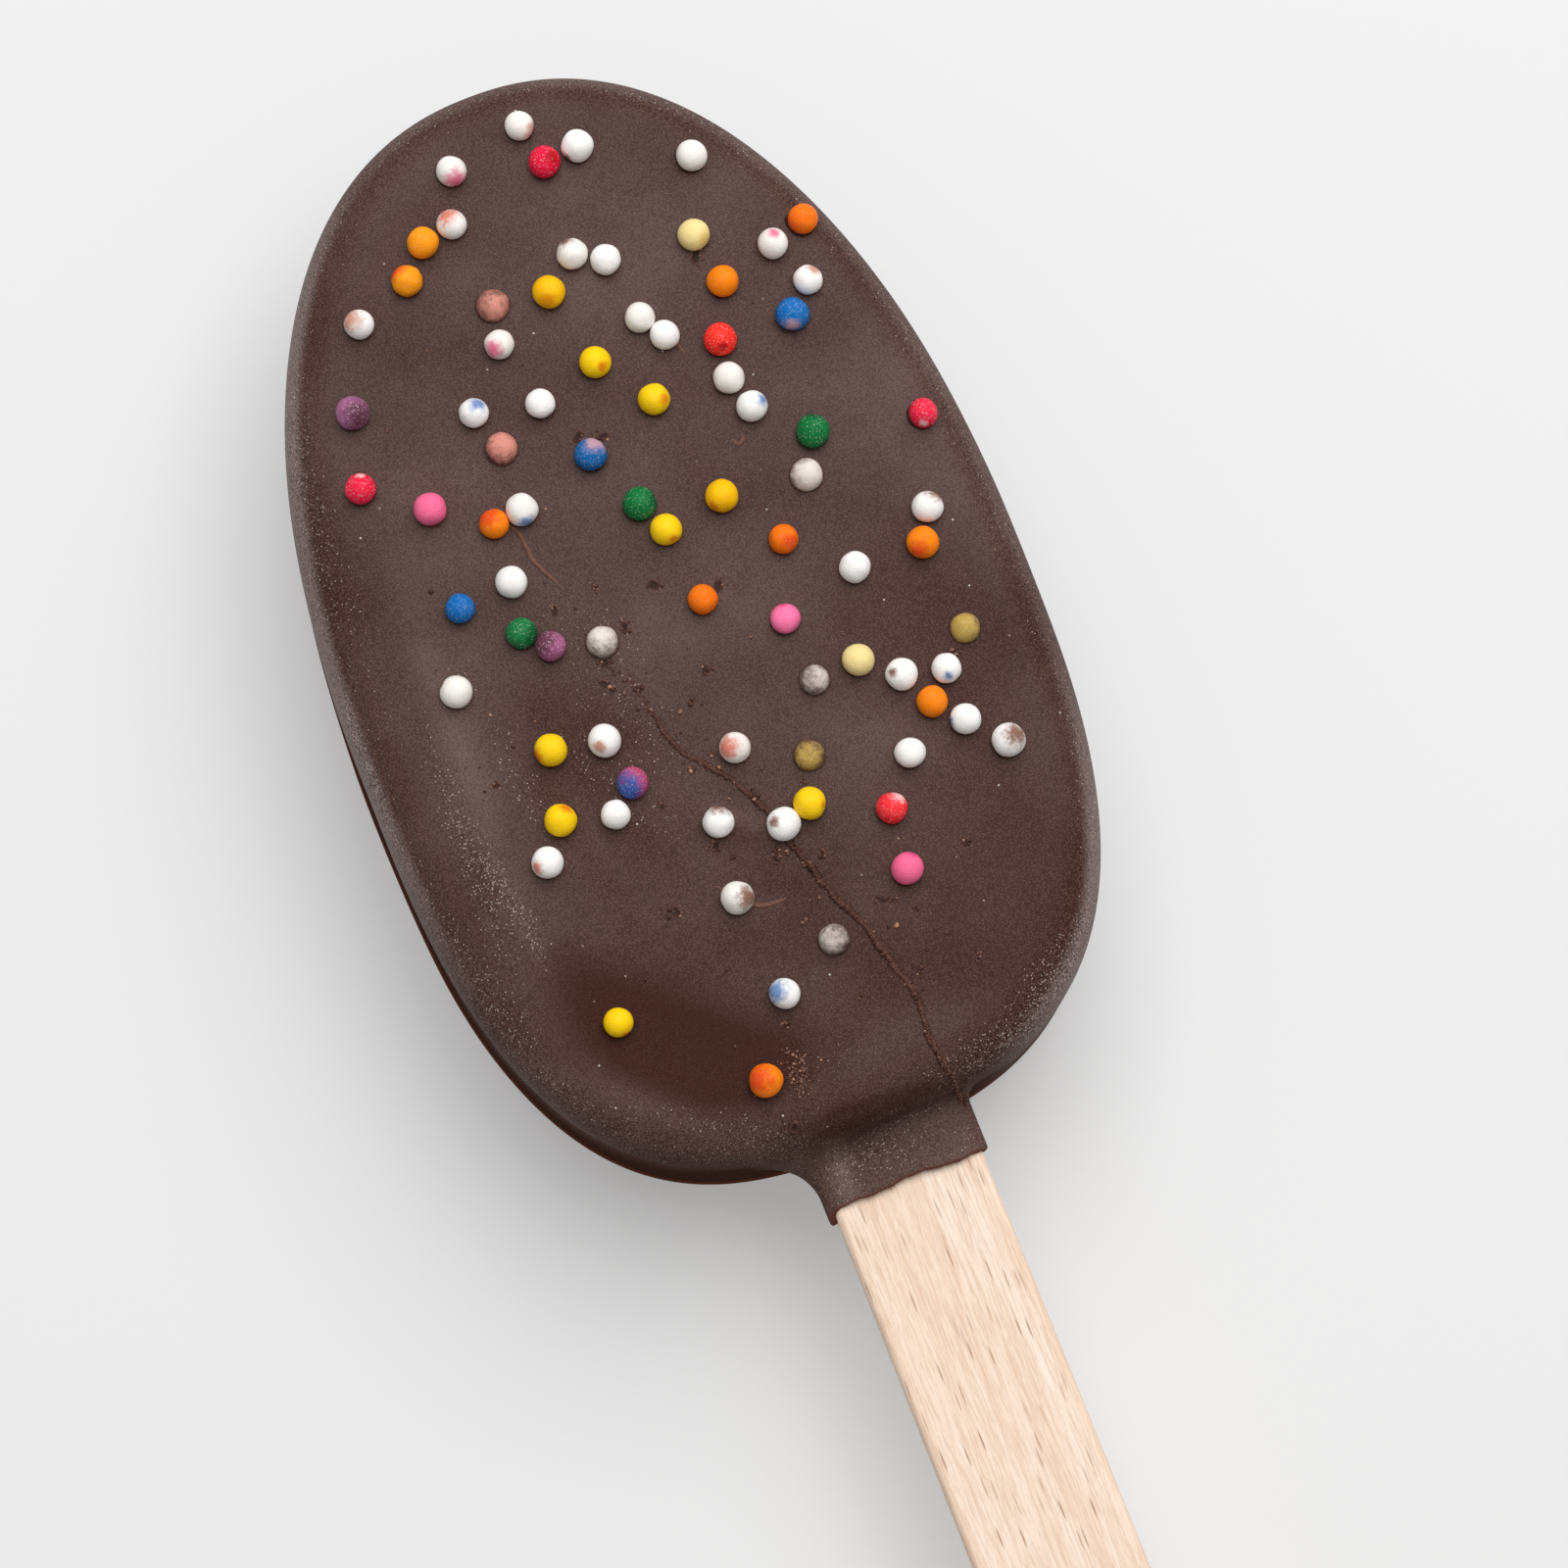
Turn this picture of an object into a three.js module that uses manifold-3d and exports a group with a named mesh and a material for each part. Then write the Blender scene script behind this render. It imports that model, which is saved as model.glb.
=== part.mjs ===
// A cakesicle lying on its flat back: an oval bar of cake under chocolate, a collar of the same
// chocolate round a flat wooden stick, and small round sugar sprinkles stuck to the face.
// Millimetres. +Z is up, +Y runs to the bar's round tip and the stick leaves towards -Y.
// The origin is under the middle of the whole, on the surface that it lies on.

import * as THREE from 'three';
import { mergeVertices } from 'three/addons/utils/BufferGeometryUtils.js';
import Module from 'manifold-3d';

// ---- driving dimensions ----

const barHalfWidth = 22; // at the bar's widest line
const tipLength = 38.6; // from the widest line to the round tip
const endLength = 31.4; // from the widest line to the end where the stick comes out
const tipRoundness = 2.2; // superellipse exponents: 2 is an ellipse, more is squarer
const endRoundness = 2.85;

const barThickness = 18.5;
const faceDome = 0.5; // how much the face falls from its middle to the start of the shoulder
const shoulderWidth = 4.2;
const shoulderRoundness = 2.5;
const rimHeight = 14.9; // where the shoulder has turned into the wall
const wallLean = 0.1; // how far the rim stands in from the wall's widest line, near the foot
const footRadius = 1.3;
const footTuck = 1; // how far the flat underside stands in from the wall

const stickLength = 93;
const stickHalfWidth = 5;
const stickEndHalfWidth = 5.2; // the stick widens a little to its outer end
const stickThickness = 2;
const stickEdge = 0.5; // rounding of the stick's long edges
const stickShown = 51.2; // length outside the bar
const stickOffset = 0.7; // the stick lies to the right of the bar's own axis
const stickMiddle = 11.6; // height of the stick's middle plane

const collarReach = 3.5; // how far the collar runs out along the stick
const collarWall = 0.32;
const stickGap = 0.28; // clearance round the stick, inside the collar and the bar
const collarRoundness = 7; // superellipse exponent of the collar's section
const mouthWave = 0.12; // unevenness of the collar's end
const leftFlap = 0.8; // how much further the collar reaches on the stick's left side
const flareEnd = 0.6; // where the collar has taken the stick's shape, beyond the bar's end
const flarePull = 0.42; // how softly the collar grows out of the bar
const topFlareEnd = -0.1; // the same for the collar's upper side, which falls off the bar
const topStartPull = 0.5; // late and then turns sharply
const topEndPull = 0.2;

const sprinkleCount = 81;
const sprinkleSeed = 11421;
const sprinkleSmallest = 1.85; // diameters
const sprinkleSpread = 0.3;
const sprinkleSpacing = 0.96; // least distance between two centres, in mean diameters
const sprinkleEdgeRoom = 1.9; // room kept to the outline
const sprinkleLowest = -6.2; // no sprinkle nearer to the collar than this
const sunkShare = 0.1; // share that has sunk deep into the chocolate

// ---- how finely the solids are divided ----

const plainColumns = 74; // divisions of the outline beside the collar
const collarColumns = 12; // divisions of the outline across the collar's root
const faceRows = 8;
const shoulderRows = 6;
const wallHeights = [11.9, 10, 8.2, 4.6];
const footRows = 3;
const flareRows = 5;
const sprinkleSides = 6;

const wholeLength = tipLength + endLength + stickShown;
const tipY = wholeLength / 2;
const widestY = tipY - tipLength;
const barEndY = widestY - endLength;
const collarEndY = barEndY - collarReach;
const flareEndY = barEndY - flareEnd;

// ---- the bar's outline and section ----

// Distance from the middle of the widest line to the outline, in the direction `angle`.
// Each half is a superellipse, drawn in by `inset` all round.
function outlineReach(angle, inset) {
  const towardsTip = Math.sin(angle) >= 0;
  const roundness = towardsTip ? tipRoundness : endRoundness;
  const across = Math.abs(Math.cos(angle)) / (barHalfWidth - inset);
  const along = Math.abs(Math.sin(angle)) / ((towardsTip ? tipLength : endLength) - inset);
  return (across ** roundness + along ** roundness) ** (-1 / roundness);
}

// Shallow unevenness of the face, as heights of soft round swells and hollows:
// place, half length along its own direction, half width, that direction, height.
const swells = [
  { x: -10.3, y: 0.6, long: 9, wide: 3.8, turn: -0.7, height: -0.5 }, // hollow at the lower left
  { x: -16.6, y: 20, long: 14, wide: 2.2, turn: -1.57, height: 0.22 }, // ridge along the left side
  { x: -12.5, y: 17, long: 13, wide: 2, turn: -1.85, height: -0.2 }, // valley inside the ridge
  { x: 5, y: -3.5, long: 8, wide: 2.6, turn: 0.1, height: -0.25 }, // dip before the collar
  { x: 6, y: 38, long: 11, wide: 8, turn: 1.2, height: 0.15 }, // low swell near the tip
];

function faceUnevenness(x, y) {
  let height = 0;
  for (const swell of swells) {
    const dx = x - swell.x;
    const dy = y - swell.y;
    const along = (dx * Math.cos(swell.turn) + dy * Math.sin(swell.turn)) / swell.long;
    const across = (dy * Math.cos(swell.turn) - dx * Math.sin(swell.turn)) / swell.wide;
    height += swell.height * Math.exp(-(along ** 2 + across ** 2));
  }
  return height;
}

// Height of the smooth section over a ring: `inset` is its distance in from the outline.
function shoulderHeight(inset) {
  const part = THREE.MathUtils.clamp(1 - (inset - wallLean) / shoulderWidth, 0, 1);
  const rise = barThickness - faceDome - rimHeight;
  return rimHeight + rise * (1 - part ** shoulderRoundness) ** (1 / shoulderRoundness);
}

// The section's rows from the middle of the face to the edge of the flat underside. Each row is
// a ring: its inset from the outline, its scale towards the middle, its height, and how much of
// the face's unevenness it takes.
function sectionRows() {
  const rows = [];
  const faceInset = wallLean + shoulderWidth;
  for (let row = 1; row <= faceRows; row += 1) {
    const scale = row / faceRows;
    rows.push({ inset: faceInset, scale, height: barThickness - faceDome * scale ** 2, uneven: 1 });
  }
  for (let row = 1; row <= shoulderRows; row += 1) {
    const turn = (row / shoulderRows) * Math.PI / 2;
    const inset = wallLean + shoulderWidth * (1 - Math.sin(turn) ** (2 / shoulderRoundness));
    const uneven = Math.cos(turn) ** 2;
    rows.push({ inset, scale: 1, height: shoulderHeight(inset), uneven });
  }
  for (const height of wallHeights) {
    const inset = wallLean * (height - footRadius) / (rimHeight - footRadius);
    rows.push({ inset, scale: 1, height, uneven: 0 });
  }
  for (let row = 0; row <= footRows; row += 1) {
    const turn = (row / footRows) * Math.PI / 2;
    const inset = footTuck * (1 - Math.cos(turn));
    rows.push({ inset, scale: 1, height: footRadius * (1 - Math.sin(turn)), uneven: 0 });
  }
  return rows;
}

function barPoint(angle, row) {
  const reach = outlineReach(angle, row.inset) * row.scale;
  const x = reach * Math.cos(angle);
  const y = widestY + reach * Math.sin(angle);
  return new THREE.Vector3(x, y, row.height + row.uneven * faceUnevenness(x, y));
}

// ---- the collar ----

// The collar grows out of a patch of the bar's end: columns and rows of the bar's grid that are
// left open. From the patch's edge each line leaves along the bar's surface and bends round
// until it runs along the stick.
const patch = { left: -9.3, right: 7.1, firstRow: faceRows + 2, lastRow: faceRows + shoulderRows + 2 };

function columnAngles() {
  const endAngleAt = (x) => Math.atan2(-endLength, x);
  const from = endAngleAt(patch.left);
  const to = endAngleAt(patch.right);
  const angles = [];
  for (let column = 0; column <= collarColumns; column += 1) {
    angles.push(from + (to - from) * (column / collarColumns));
  }
  for (let column = 1; column < plainColumns; column += 1) {
    angles.push(to + (2 * Math.PI - (to - from)) * (column / plainColumns));
  }
  return angles;
}

// A point of the collar's section, a rounded rectangle, in the direction `turn` round the stick.
function collarSectionPoint(turn, y) {
  const halfWidth = stickHalfWidth + stickGap + collarWall;
  const halfHeight = stickThickness / 2 + stickGap + collarWall;
  const power = (Math.abs(Math.cos(turn)) ** collarRoundness
    + Math.abs(Math.sin(turn)) ** collarRoundness) ** (-1 / collarRoundness);
  const x = stickOffset + halfWidth * Math.cos(turn) * power;
  const z = stickMiddle + halfHeight * Math.sin(turn) * power;
  return new THREE.Vector3(x, y, z);
}

function mouthY(x) {
  return collarEndY + mouthWave * Math.sin(1.3 * x) + mouthWave * Math.sin(0.5 * x + 1);
}

// ---- the coated bar as one closed surface ----

function meshFrom(points, triangles) {
  const geometry = new THREE.BufferGeometry();
  const positions = new Float32Array(points.flatMap((point) => [point.x, point.y, point.z]));
  geometry.setAttribute('position', new THREE.BufferAttribute(positions, 3));
  geometry.setIndex(triangles);
  return geometry;
}

function coatedBarSurface() {
  const angles = columnAngles();
  const rows = sectionRows();
  const columns = angles.length;
  const points = [];
  const triangles = [];
  const index = (column, row) => row * columns + (column % columns);
  for (const row of rows) {
    for (const angle of angles) points.push(barPoint(angle, row));
  }
  const quad = (a, b, c, d) => triangles.push(a, b, c, a, c, d);

  const inPatch = (column, row) => column < collarColumns
    && row >= patch.firstRow && row < patch.lastRow;
  for (let row = 0; row < rows.length - 1; row += 1) {
    for (let column = 0; column < columns; column += 1) {
      if (inPatch(column, row)) continue;
      quad(index(column, row), index(column, row + 1), index(column + 1, row + 1), index(column + 1, row));
    }
  }

  const top = points.push(new THREE.Vector3(0, widestY, barThickness + faceUnevenness(0, widestY))) - 1;
  const bottom = points.push(new THREE.Vector3(0, widestY, 0)) - 1;
  const lastRow = rows.length - 1;
  for (let column = 0; column < columns; column += 1) {
    triangles.push(top, index(column, 0), index(column + 1, 0));
    triangles.push(bottom, index(column + 1, lastRow), index(column, lastRow));
  }

  // Once round the patch: along its top edge, down its right edge, back along its bottom edge
  // and up its left edge.
  const edge = [];
  for (let column = 0; column < collarColumns; column += 1) edge.push([column, patch.firstRow]);
  for (let row = patch.firstRow; row < patch.lastRow; row += 1) edge.push([collarColumns, row]);
  for (let column = collarColumns; column > 0; column -= 1) edge.push([column, patch.lastRow]);
  for (let row = patch.lastRow; row > patch.firstRow; row -= 1) edge.push([0, row]);

  // Every line starts along the bar's surface, as nearly towards its end as the surface allows,
  // and arrives along the stick.
  const middleColumn = collarColumns / 2;
  const roomAbove = points[index(middleColumn, patch.firstRow)].z - stickMiddle;
  const roomBelow = stickMiddle - points[index(middleColumn, patch.lastRow)].z;
  const targets = edge.map(([column, row]) => {
    const start = points[index(column, row)];
    const along = points[index(column + 1, row)].clone().sub(points[index(column + columns - 1, row)]);
    const down = points[index(column, row + 1)].clone().sub(points[index(column, row - 1)]);
    const normal = along.cross(down).normalize();
    const across = start.x - stickOffset;
    const up = start.z - stickMiddle;
    const roomBeside = across < 0 ? stickOffset - patch.left : patch.right - stickOffset;
    const turn = Math.atan2(up / (up < 0 ? roomBelow : roomAbove), across / roomBeside);
    const leftness = Math.max(0, -Math.cos(turn)) ** 2;
    const upness = Math.max(0, Math.sin(turn)) ** 2;
    const { lerp } = THREE.MathUtils;
    const levelEnd = lerp(flareEndY, barEndY - topFlareEnd, upness);
    const end = collarSectionPoint(turn, lerp(levelEnd, collarEndY + 0.5, leftness));
    const way = end.clone().sub(start);
    const length = way.length();
    const leaving = way.addScaledVector(normal, -way.dot(normal)).normalize();
    const startPull = start.clone().addScaledVector(leaving, lerp(flarePull, topStartPull, upness) * length);
    const endPull = end.clone().setY(end.y + lerp(flarePull, topEndPull, upness) * length);
    return { turn, curve: new THREE.CubicBezierCurve3(start, startPull, endPull, end) };
  });
  let previous = edge.map(([column, row]) => index(column, row));
  const addRing = (ring) => {
    const current = ring.map((point) => points.push(point) - 1);
    for (let spot = 0; spot < edge.length; spot += 1) {
      const next = (spot + 1) % edge.length;
      quad(previous[spot], current[spot], current[next], previous[next]);
    }
    previous = current;
  };
  for (let row = 1; row <= flareRows; row += 1) {
    addRing(targets.map(({ curve }) => curve.getPoint(row / flareRows)));
  }
  addRing(targets.map(({ turn }) => {
    const point = collarSectionPoint(turn, 0);
    return point.setY(mouthY(point.x) - leftFlap * Math.max(0, -Math.cos(turn)) ** 6);
  }));
  const mouth = points.push(new THREE.Vector3(stickOffset, collarEndY, stickMiddle)) - 1;
  for (let spot = 0; spot < edge.length; spot += 1) {
    triangles.push(previous[(spot + 1) % edge.length], previous[spot], mouth);
  }
  return meshFrom(points, triangles);
}

// ---- the stick ----

// The stick's plan grown by `room`: straight sides that widen to the outer end, round ends.
function stickPlan(room) {
  const innerRadius = stickHalfWidth + room;
  const outerRadius = stickEndHalfWidth + room;
  const outerY = -wholeLength / 2 + stickEndHalfWidth;
  const innerY = -wholeLength / 2 + stickLength - stickHalfWidth;
  const plan = new THREE.Shape();
  plan.moveTo(stickOffset + outerRadius, outerY);
  plan.lineTo(stickOffset + innerRadius, barEndY);
  plan.lineTo(stickOffset + innerRadius, innerY);
  plan.absarc(stickOffset, innerY, innerRadius, 0, Math.PI, false);
  plan.lineTo(stickOffset - innerRadius, barEndY);
  plan.lineTo(stickOffset - outerRadius, outerY);
  plan.absarc(stickOffset, outerY, outerRadius, Math.PI, 2 * Math.PI, false);
  return plan;
}

// A flat bar of the stick's plan with rounded edges, standing `room` outside the real stick.
function stickBody(room) {
  const geometry = new THREE.ExtrudeGeometry(stickPlan(room - stickEdge), {
    depth: stickThickness + 2 * (room - stickEdge),
    curveSegments: 12,
    bevelEnabled: true,
    bevelSize: stickEdge,
    bevelThickness: stickEdge,
    bevelSegments: 3,
  });
  geometry.translate(0, 0, stickMiddle - stickThickness / 2 - room + stickEdge);
  return geometry;
}

// ---- the sprinkles ----

// Repeatable random numbers from 0 to 1: each whole number follows from the one before.
function drawing(seed) {
  let state = seed;
  return () => {
    state = (state * 16807) % 2147483647;
    return state / 2147483647;
  };
}

// How far in from the outline a place on the face lies, up to where the shoulder begins.
function insetAt(x, y) {
  const angle = Math.atan2(y - widestY, x);
  const reach = Math.hypot(x, y - widestY);
  let low = 0;
  let high = wallLean + shoulderWidth;
  for (let step = 0; step < 24; step += 1) {
    const middle = (low + high) / 2;
    if (outlineReach(angle, middle) > reach) low = middle;
    else high = middle;
  }
  return low;
}

function faceHeight(x, y) {
  const faceInset = wallLean + shoulderWidth;
  const reach = Math.hypot(x, y - widestY);
  const scale = reach / outlineReach(Math.atan2(y - widestY, x), faceInset);
  if (scale <= 1) return barThickness - faceDome * scale ** 2 + faceUnevenness(x, y);
  return shoulderHeight(insetAt(x, y)) + faceUnevenness(x, y);
}

// Sprinkles lie thick on the middle and the right, thin along the left side and near the stick.
function sprinkleDensity(x, y) {
  const side = x / outlineReach(Math.atan2(y - widestY, x), 0);
  const leftThinning = 1 - 0.88 * THREE.MathUtils.smoothstep(-side, 0.45, 0.7);
  const rightThinning = 1 - 0.2 * THREE.MathUtils.smoothstep(side, 0.6, 0.8);
  const endThinning = 0.15 + 0.85 * THREE.MathUtils.smoothstep(y, -6, 14);
  return leftThinning * rightThinning * endThinning;
}

// Places are drawn evenly over the face and kept by the density, where there is room.
function scatterSprinkles() {
  const draw = drawing(sprinkleSeed);
  const kept = [];
  while (kept.length < sprinkleCount) {
    const x = (2 * draw() - 1) * barHalfWidth;
    const y = barEndY + draw() * (tipLength + endLength);
    const chance = draw();
    const diameter = sprinkleSmallest + sprinkleSpread * draw();
    const sunk = draw() < sunkShare;
    const reach = outlineReach(Math.atan2(y - widestY, x), sprinkleEdgeRoom);
    if (Math.hypot(x, y - widestY) > reach) continue;
    if (y < sprinkleLowest || chance > sprinkleDensity(x, y)) continue;
    const near = (other) => Math.hypot(other.x - x, other.y - y)
      < sprinkleSpacing * (other.diameter + diameter) / 2;
    if (!kept.some(near)) kept.push({ x, y, diameter, sunk });
  }
  return kept;
}

// A ball of few faces that stands on the surface below it and is partly sunk into it.
function sprinkleBall({ x, y, diameter, sunk }) {
  const step = 0.2;
  const slope = new THREE.Vector3(
    (faceHeight(x - step, y) - faceHeight(x + step, y)) / (2 * step),
    (faceHeight(x, y - step) - faceHeight(x, y + step)) / (2 * step),
    1,
  ).normalize();
  const radius = diameter / 2;
  const lift = radius * (sunk ? 0.1 : 0.5);
  const ball = new THREE.SphereGeometry(radius * 1.05, sprinkleSides, 4);
  ball.rotateX(Math.PI / 2);
  ball.rotateZ(x + y);
  ball.translate(x + slope.x * lift, y + slope.y * lift, faceHeight(x, y) + slope.z * lift);
  return ball;
}

// ---- cutting and joining ----

const wasm = await Module();
wasm.setup();

function solidFrom(geometry) {
  const bare = geometry.clone();
  bare.deleteAttribute('normal');
  bare.deleteAttribute('uv');
  const merged = mergeVertices(bare, 1e-5);
  const vertProperties = new Float32Array(merged.attributes.position.array);
  const triVerts = new Uint32Array(merged.index.array);
  return new wasm.Manifold(new wasm.Mesh({ numProp: 3, vertProperties, triVerts }));
}

function geometryFrom(solid) {
  const mesh = solid.getMesh();
  const geometry = new THREE.BufferGeometry();
  geometry.setAttribute('position', new THREE.BufferAttribute(new Float32Array(mesh.vertProperties), 3));
  geometry.setIndex(new THREE.BufferAttribute(new Uint32Array(mesh.triVerts), 1));
  return geometry;
}

function coatedBar() {
  const pocket = solidFrom(stickBody(stickGap));
  let solid = solidFrom(coatedBarSurface()).subtract(pocket);
  for (const sprinkle of scatterSprinkles()) solid = solid.add(solidFrom(sprinkleBall(sprinkle)));
  return geometryFrom(solid);
}

// ---- the whole ----

function named(name, geometry, colour, roughness) {
  const material = new THREE.MeshStandardMaterial({ color: colour, roughness, metalness: 0 });
  const mesh = new THREE.Mesh(geometry, material);
  mesh.name = name;
  return mesh;
}

const cakesicle = new THREE.Group();
cakesicle.add(named('coated_bar', coatedBar(), '#5a4340', 0.6));
cakesicle.add(named('stick', stickBody(0), '#ead2b4', 0.75));

export default cakesicle;
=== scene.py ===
# Looks of the cakesicle: chocolate coat, sprinkles, crumbs, threads and wooden stick, built
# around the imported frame. Shapes are worked out in millimetres and put into meshes in metres.

import math

import bpy
import numpy as np
from mathutils import Matrix, Vector
from mathutils.bvhtree import BVHTree


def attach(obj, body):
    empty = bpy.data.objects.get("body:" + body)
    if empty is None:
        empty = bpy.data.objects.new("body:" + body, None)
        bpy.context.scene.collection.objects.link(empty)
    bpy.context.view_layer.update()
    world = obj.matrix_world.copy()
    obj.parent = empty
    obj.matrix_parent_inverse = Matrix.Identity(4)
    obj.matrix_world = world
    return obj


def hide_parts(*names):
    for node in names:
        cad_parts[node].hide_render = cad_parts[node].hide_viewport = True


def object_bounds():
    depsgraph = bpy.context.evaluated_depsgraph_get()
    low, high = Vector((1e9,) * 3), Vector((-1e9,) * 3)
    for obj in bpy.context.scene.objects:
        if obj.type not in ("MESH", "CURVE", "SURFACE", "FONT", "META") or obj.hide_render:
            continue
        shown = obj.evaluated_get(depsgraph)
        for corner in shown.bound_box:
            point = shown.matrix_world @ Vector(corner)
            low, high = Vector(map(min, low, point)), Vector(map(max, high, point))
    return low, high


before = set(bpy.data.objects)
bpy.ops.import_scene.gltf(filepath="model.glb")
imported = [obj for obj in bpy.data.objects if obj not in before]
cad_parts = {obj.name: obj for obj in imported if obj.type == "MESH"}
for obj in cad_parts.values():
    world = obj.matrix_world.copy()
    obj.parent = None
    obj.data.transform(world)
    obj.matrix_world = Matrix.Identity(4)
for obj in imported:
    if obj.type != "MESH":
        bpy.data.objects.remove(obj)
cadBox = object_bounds()
metresPerMm = 0.001
anyTurn = 6.3  # upper limit of a drawn direction or phase, in radians

photoView = {
    "axisLean": 21.5,  # degrees between the bar's axis and the picture's upright
    "leanLeft": 1.2,  # degrees that the camera stands off the vertical, to the picture's left
    "leanDown": 6.7,  # and towards its lower edge
    "distance": 480.0,
    "lookAt": (2.74, 13.15, 11.6),
    "widthSeen": 98.48,  # at the distance looked at
    "sensorWidth": 36.0,
    "clip": (0.01, 20),  # metres
}


# An object in the scene, at the origin unless a matrix is given.
def newObject(name, data, matrix=Matrix()):
    made = bpy.data.objects.new(name, data)
    made.matrix_world = matrix
    bpy.context.scene.collection.objects.link(made)
    return made


# The camera stands at lookAt + distance * back, where back is the upright tilted to the
# picture's left and down. The picture's right and down on the floor are kept for the light.
def placeCamera(view):
    lean = math.radians(view["axisLean"])
    right = Vector((math.cos(lean), -math.sin(lean), 0))
    down = Vector((-math.sin(lean), -math.cos(lean), 0))
    left = math.tan(math.radians(view["leanLeft"]))
    lower = math.tan(math.radians(view["leanDown"]))
    back = (Vector((0, 0, 1)) - left * right + lower * down).normalized()
    across = (right - back * right.dot(back)).normalized()
    data = bpy.data.cameras.new("photoCamera")
    data.sensor_width = view["sensorWidth"]
    data.lens = view["sensorWidth"] * view["distance"] / view["widthSeen"]
    data.clip_start, data.clip_end = view["clip"]
    matrix = Matrix((across, back.cross(across), back)).transposed().to_4x4()
    matrix.translation = (Vector(view["lookAt"]) + view["distance"] * back) * metresPerMm
    bpy.context.scene.camera = newObject("photoCamera", data, matrix)
    return right, down


pictureRight, pictureDown = placeCamera(photoView)
print("camera placed")


class Signal:  # a node socket that can stand in a sum, so that masks read as formulas
    def __init__(self, recipe, socket):
        self.recipe, self.socket = recipe, socket

    def maths(self, operation, *others):
        inputs = dict(enumerate((self, *others)))
        return self.recipe.add("ShaderNodeMath", {"operation": operation}, inputs)

    def other(self, name):  # another output of the same node
        return Signal(self.recipe, self.socket.node.outputs[name])

    def __add__(self, value):
        return self.maths("ADD", value)

    def __mul__(self, value):
        return self.maths("MULTIPLY", value)

    def __sub__(self, value):
        return self.maths("SUBTRACT", value)

    def __rsub__(self, value):
        inputs = {0: value, 1: self}
        return self.recipe.add("ShaderNodeMath", {"operation": "SUBTRACT"}, inputs)

    __radd__ = __add__
    __rmul__ = __mul__

    def step(self, low, high):  # 0 at low, 1 at high, eased at both ends
        inputs = {"Value": self, "From Min": low, "From Max": high}
        settings = {"interpolation_type": "SMOOTHSTEP"}
        return self.recipe.add("ShaderNodeMapRange", settings, inputs)


class Recipe:  # a material and its nodes
    def __init__(self, name, sockets):
        self.material = bpy.data.materials.new(name)
        self.material.use_nodes = True
        self.tree = self.material.node_tree
        self.finish(sockets)

    def finish(self, sockets):  # fills the shader's own sockets
        self.fill(self.tree.nodes["Principled BSDF"], sockets)
        return self.material

    def fill(self, node, sockets):
        for key, value in sockets.items():
            socket = node.inputs[key]
            if isinstance(value, Signal):
                self.tree.links.new(value.socket, socket)
            elif hasattr(socket.default_value, "__len__") and len(socket.default_value) == 4:
                socket.default_value = (*value[:3], 1)
            else:
                socket.default_value = value

    def add(self, kind, settings=None, sockets=None, output=0):  # a node, as one of its outputs
        node = self.tree.nodes.new(kind)
        for name, value in (settings or {}).items():
            if name == "stops":
                for element, (place, colour) in zip(node.color_ramp.elements, value):
                    element.position, element.color = place, (*colour, 1)
            else:
                setattr(node, name, value)
        self.fill(node, sockets or {})
        return Signal(self, node.outputs[output])

    def place(self):
        return self.add("ShaderNodeTexCoord", output="Object")

    def stretched(self, vector, scale, turn=(0, 0, 0)):
        sockets = {"Vector": vector, "Scale": scale, "Rotation": turn}
        return self.add("ShaderNodeMapping", {}, sockets)

    def attribute(self, name, output="Fac"):
        return self.add("ShaderNodeAttribute", {"attribute_name": name}, output=output)

    def noise(self, vector, scale, detail, roughness):
        sockets = {"Vector": vector, "Scale": scale, "Detail": detail, "Roughness": roughness}
        return self.add("ShaderNodeTexNoise", {}, sockets)

    def cells(self, vector, scale, dimensions="3D"):
        settings = {"voronoi_dimensions": dimensions, "feature": "F1"}
        return self.add("ShaderNodeTexVoronoi", settings, {"Vector": vector, "Scale": scale})

    def numberOf(self, cells):  # each cell's own number, with two more as Green and Blue
        return self.add("ShaderNodeSeparateColor", {}, {"Color": cells.other("Color")})

    def blend(self, factor, under, over):
        sockets = {0: factor, 6: under, 7: over}
        return self.add("ShaderNodeMix", {"data_type": "RGBA"}, sockets, output=2)

    def painted(self, colour, *layers):  # each layer is how much of it, and its screen colour
        for factor, tone in layers:
            colour = self.blend(factor, colour, fromScreen(*tone))
        return colour

    def bump(self, height, distance=0.001):
        return self.add("ShaderNodeBump", {}, {"Height": height, "Distance": distance})


# A colour read off a screen, 0 to 255, as the linear amounts that a shader takes.
def fromScreen(red, green, blue):
    amounts = [value / 255 for value in (red, green, blue)]
    return tuple(v / 12.92 if v <= 0.04045 else ((v + 0.055) / 1.055) ** 2.4 for v in amounts)


# Points in millimetres and groups of faces become a smooth piece that rides on the part's body.
# A mask is an attribute of its mesh, a number or a colour with alpha for each point.
def makePiece(name, points, faces, material, masks, node="coated_bar"):
    mesh = bpy.data.meshes.new(name)
    flat = [face for group in faces for face in group.tolist()]
    mesh.from_pydata((points.reshape(-1, 3) * metresPerMm).tolist(), [], flat)
    mesh.polygons.foreach_set("use_smooth", np.ones(len(mesh.polygons), bool))
    for key, values in masks.items():
        kind, field = ("FLOAT", "value") if values.ndim == 1 else ("FLOAT_COLOR", "color")
        layer = mesh.attributes.new(key, kind, "POINT")
        layer.data.foreach_set(field, values.astype(np.float32).ravel())
    mesh.materials.append(material)
    mesh.update()
    piece = newObject(name, mesh)
    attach(piece, "root")
    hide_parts(node)
    print(f"{name}: {sum(len(face) - 2 for face in flat)} triangles")


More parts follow.
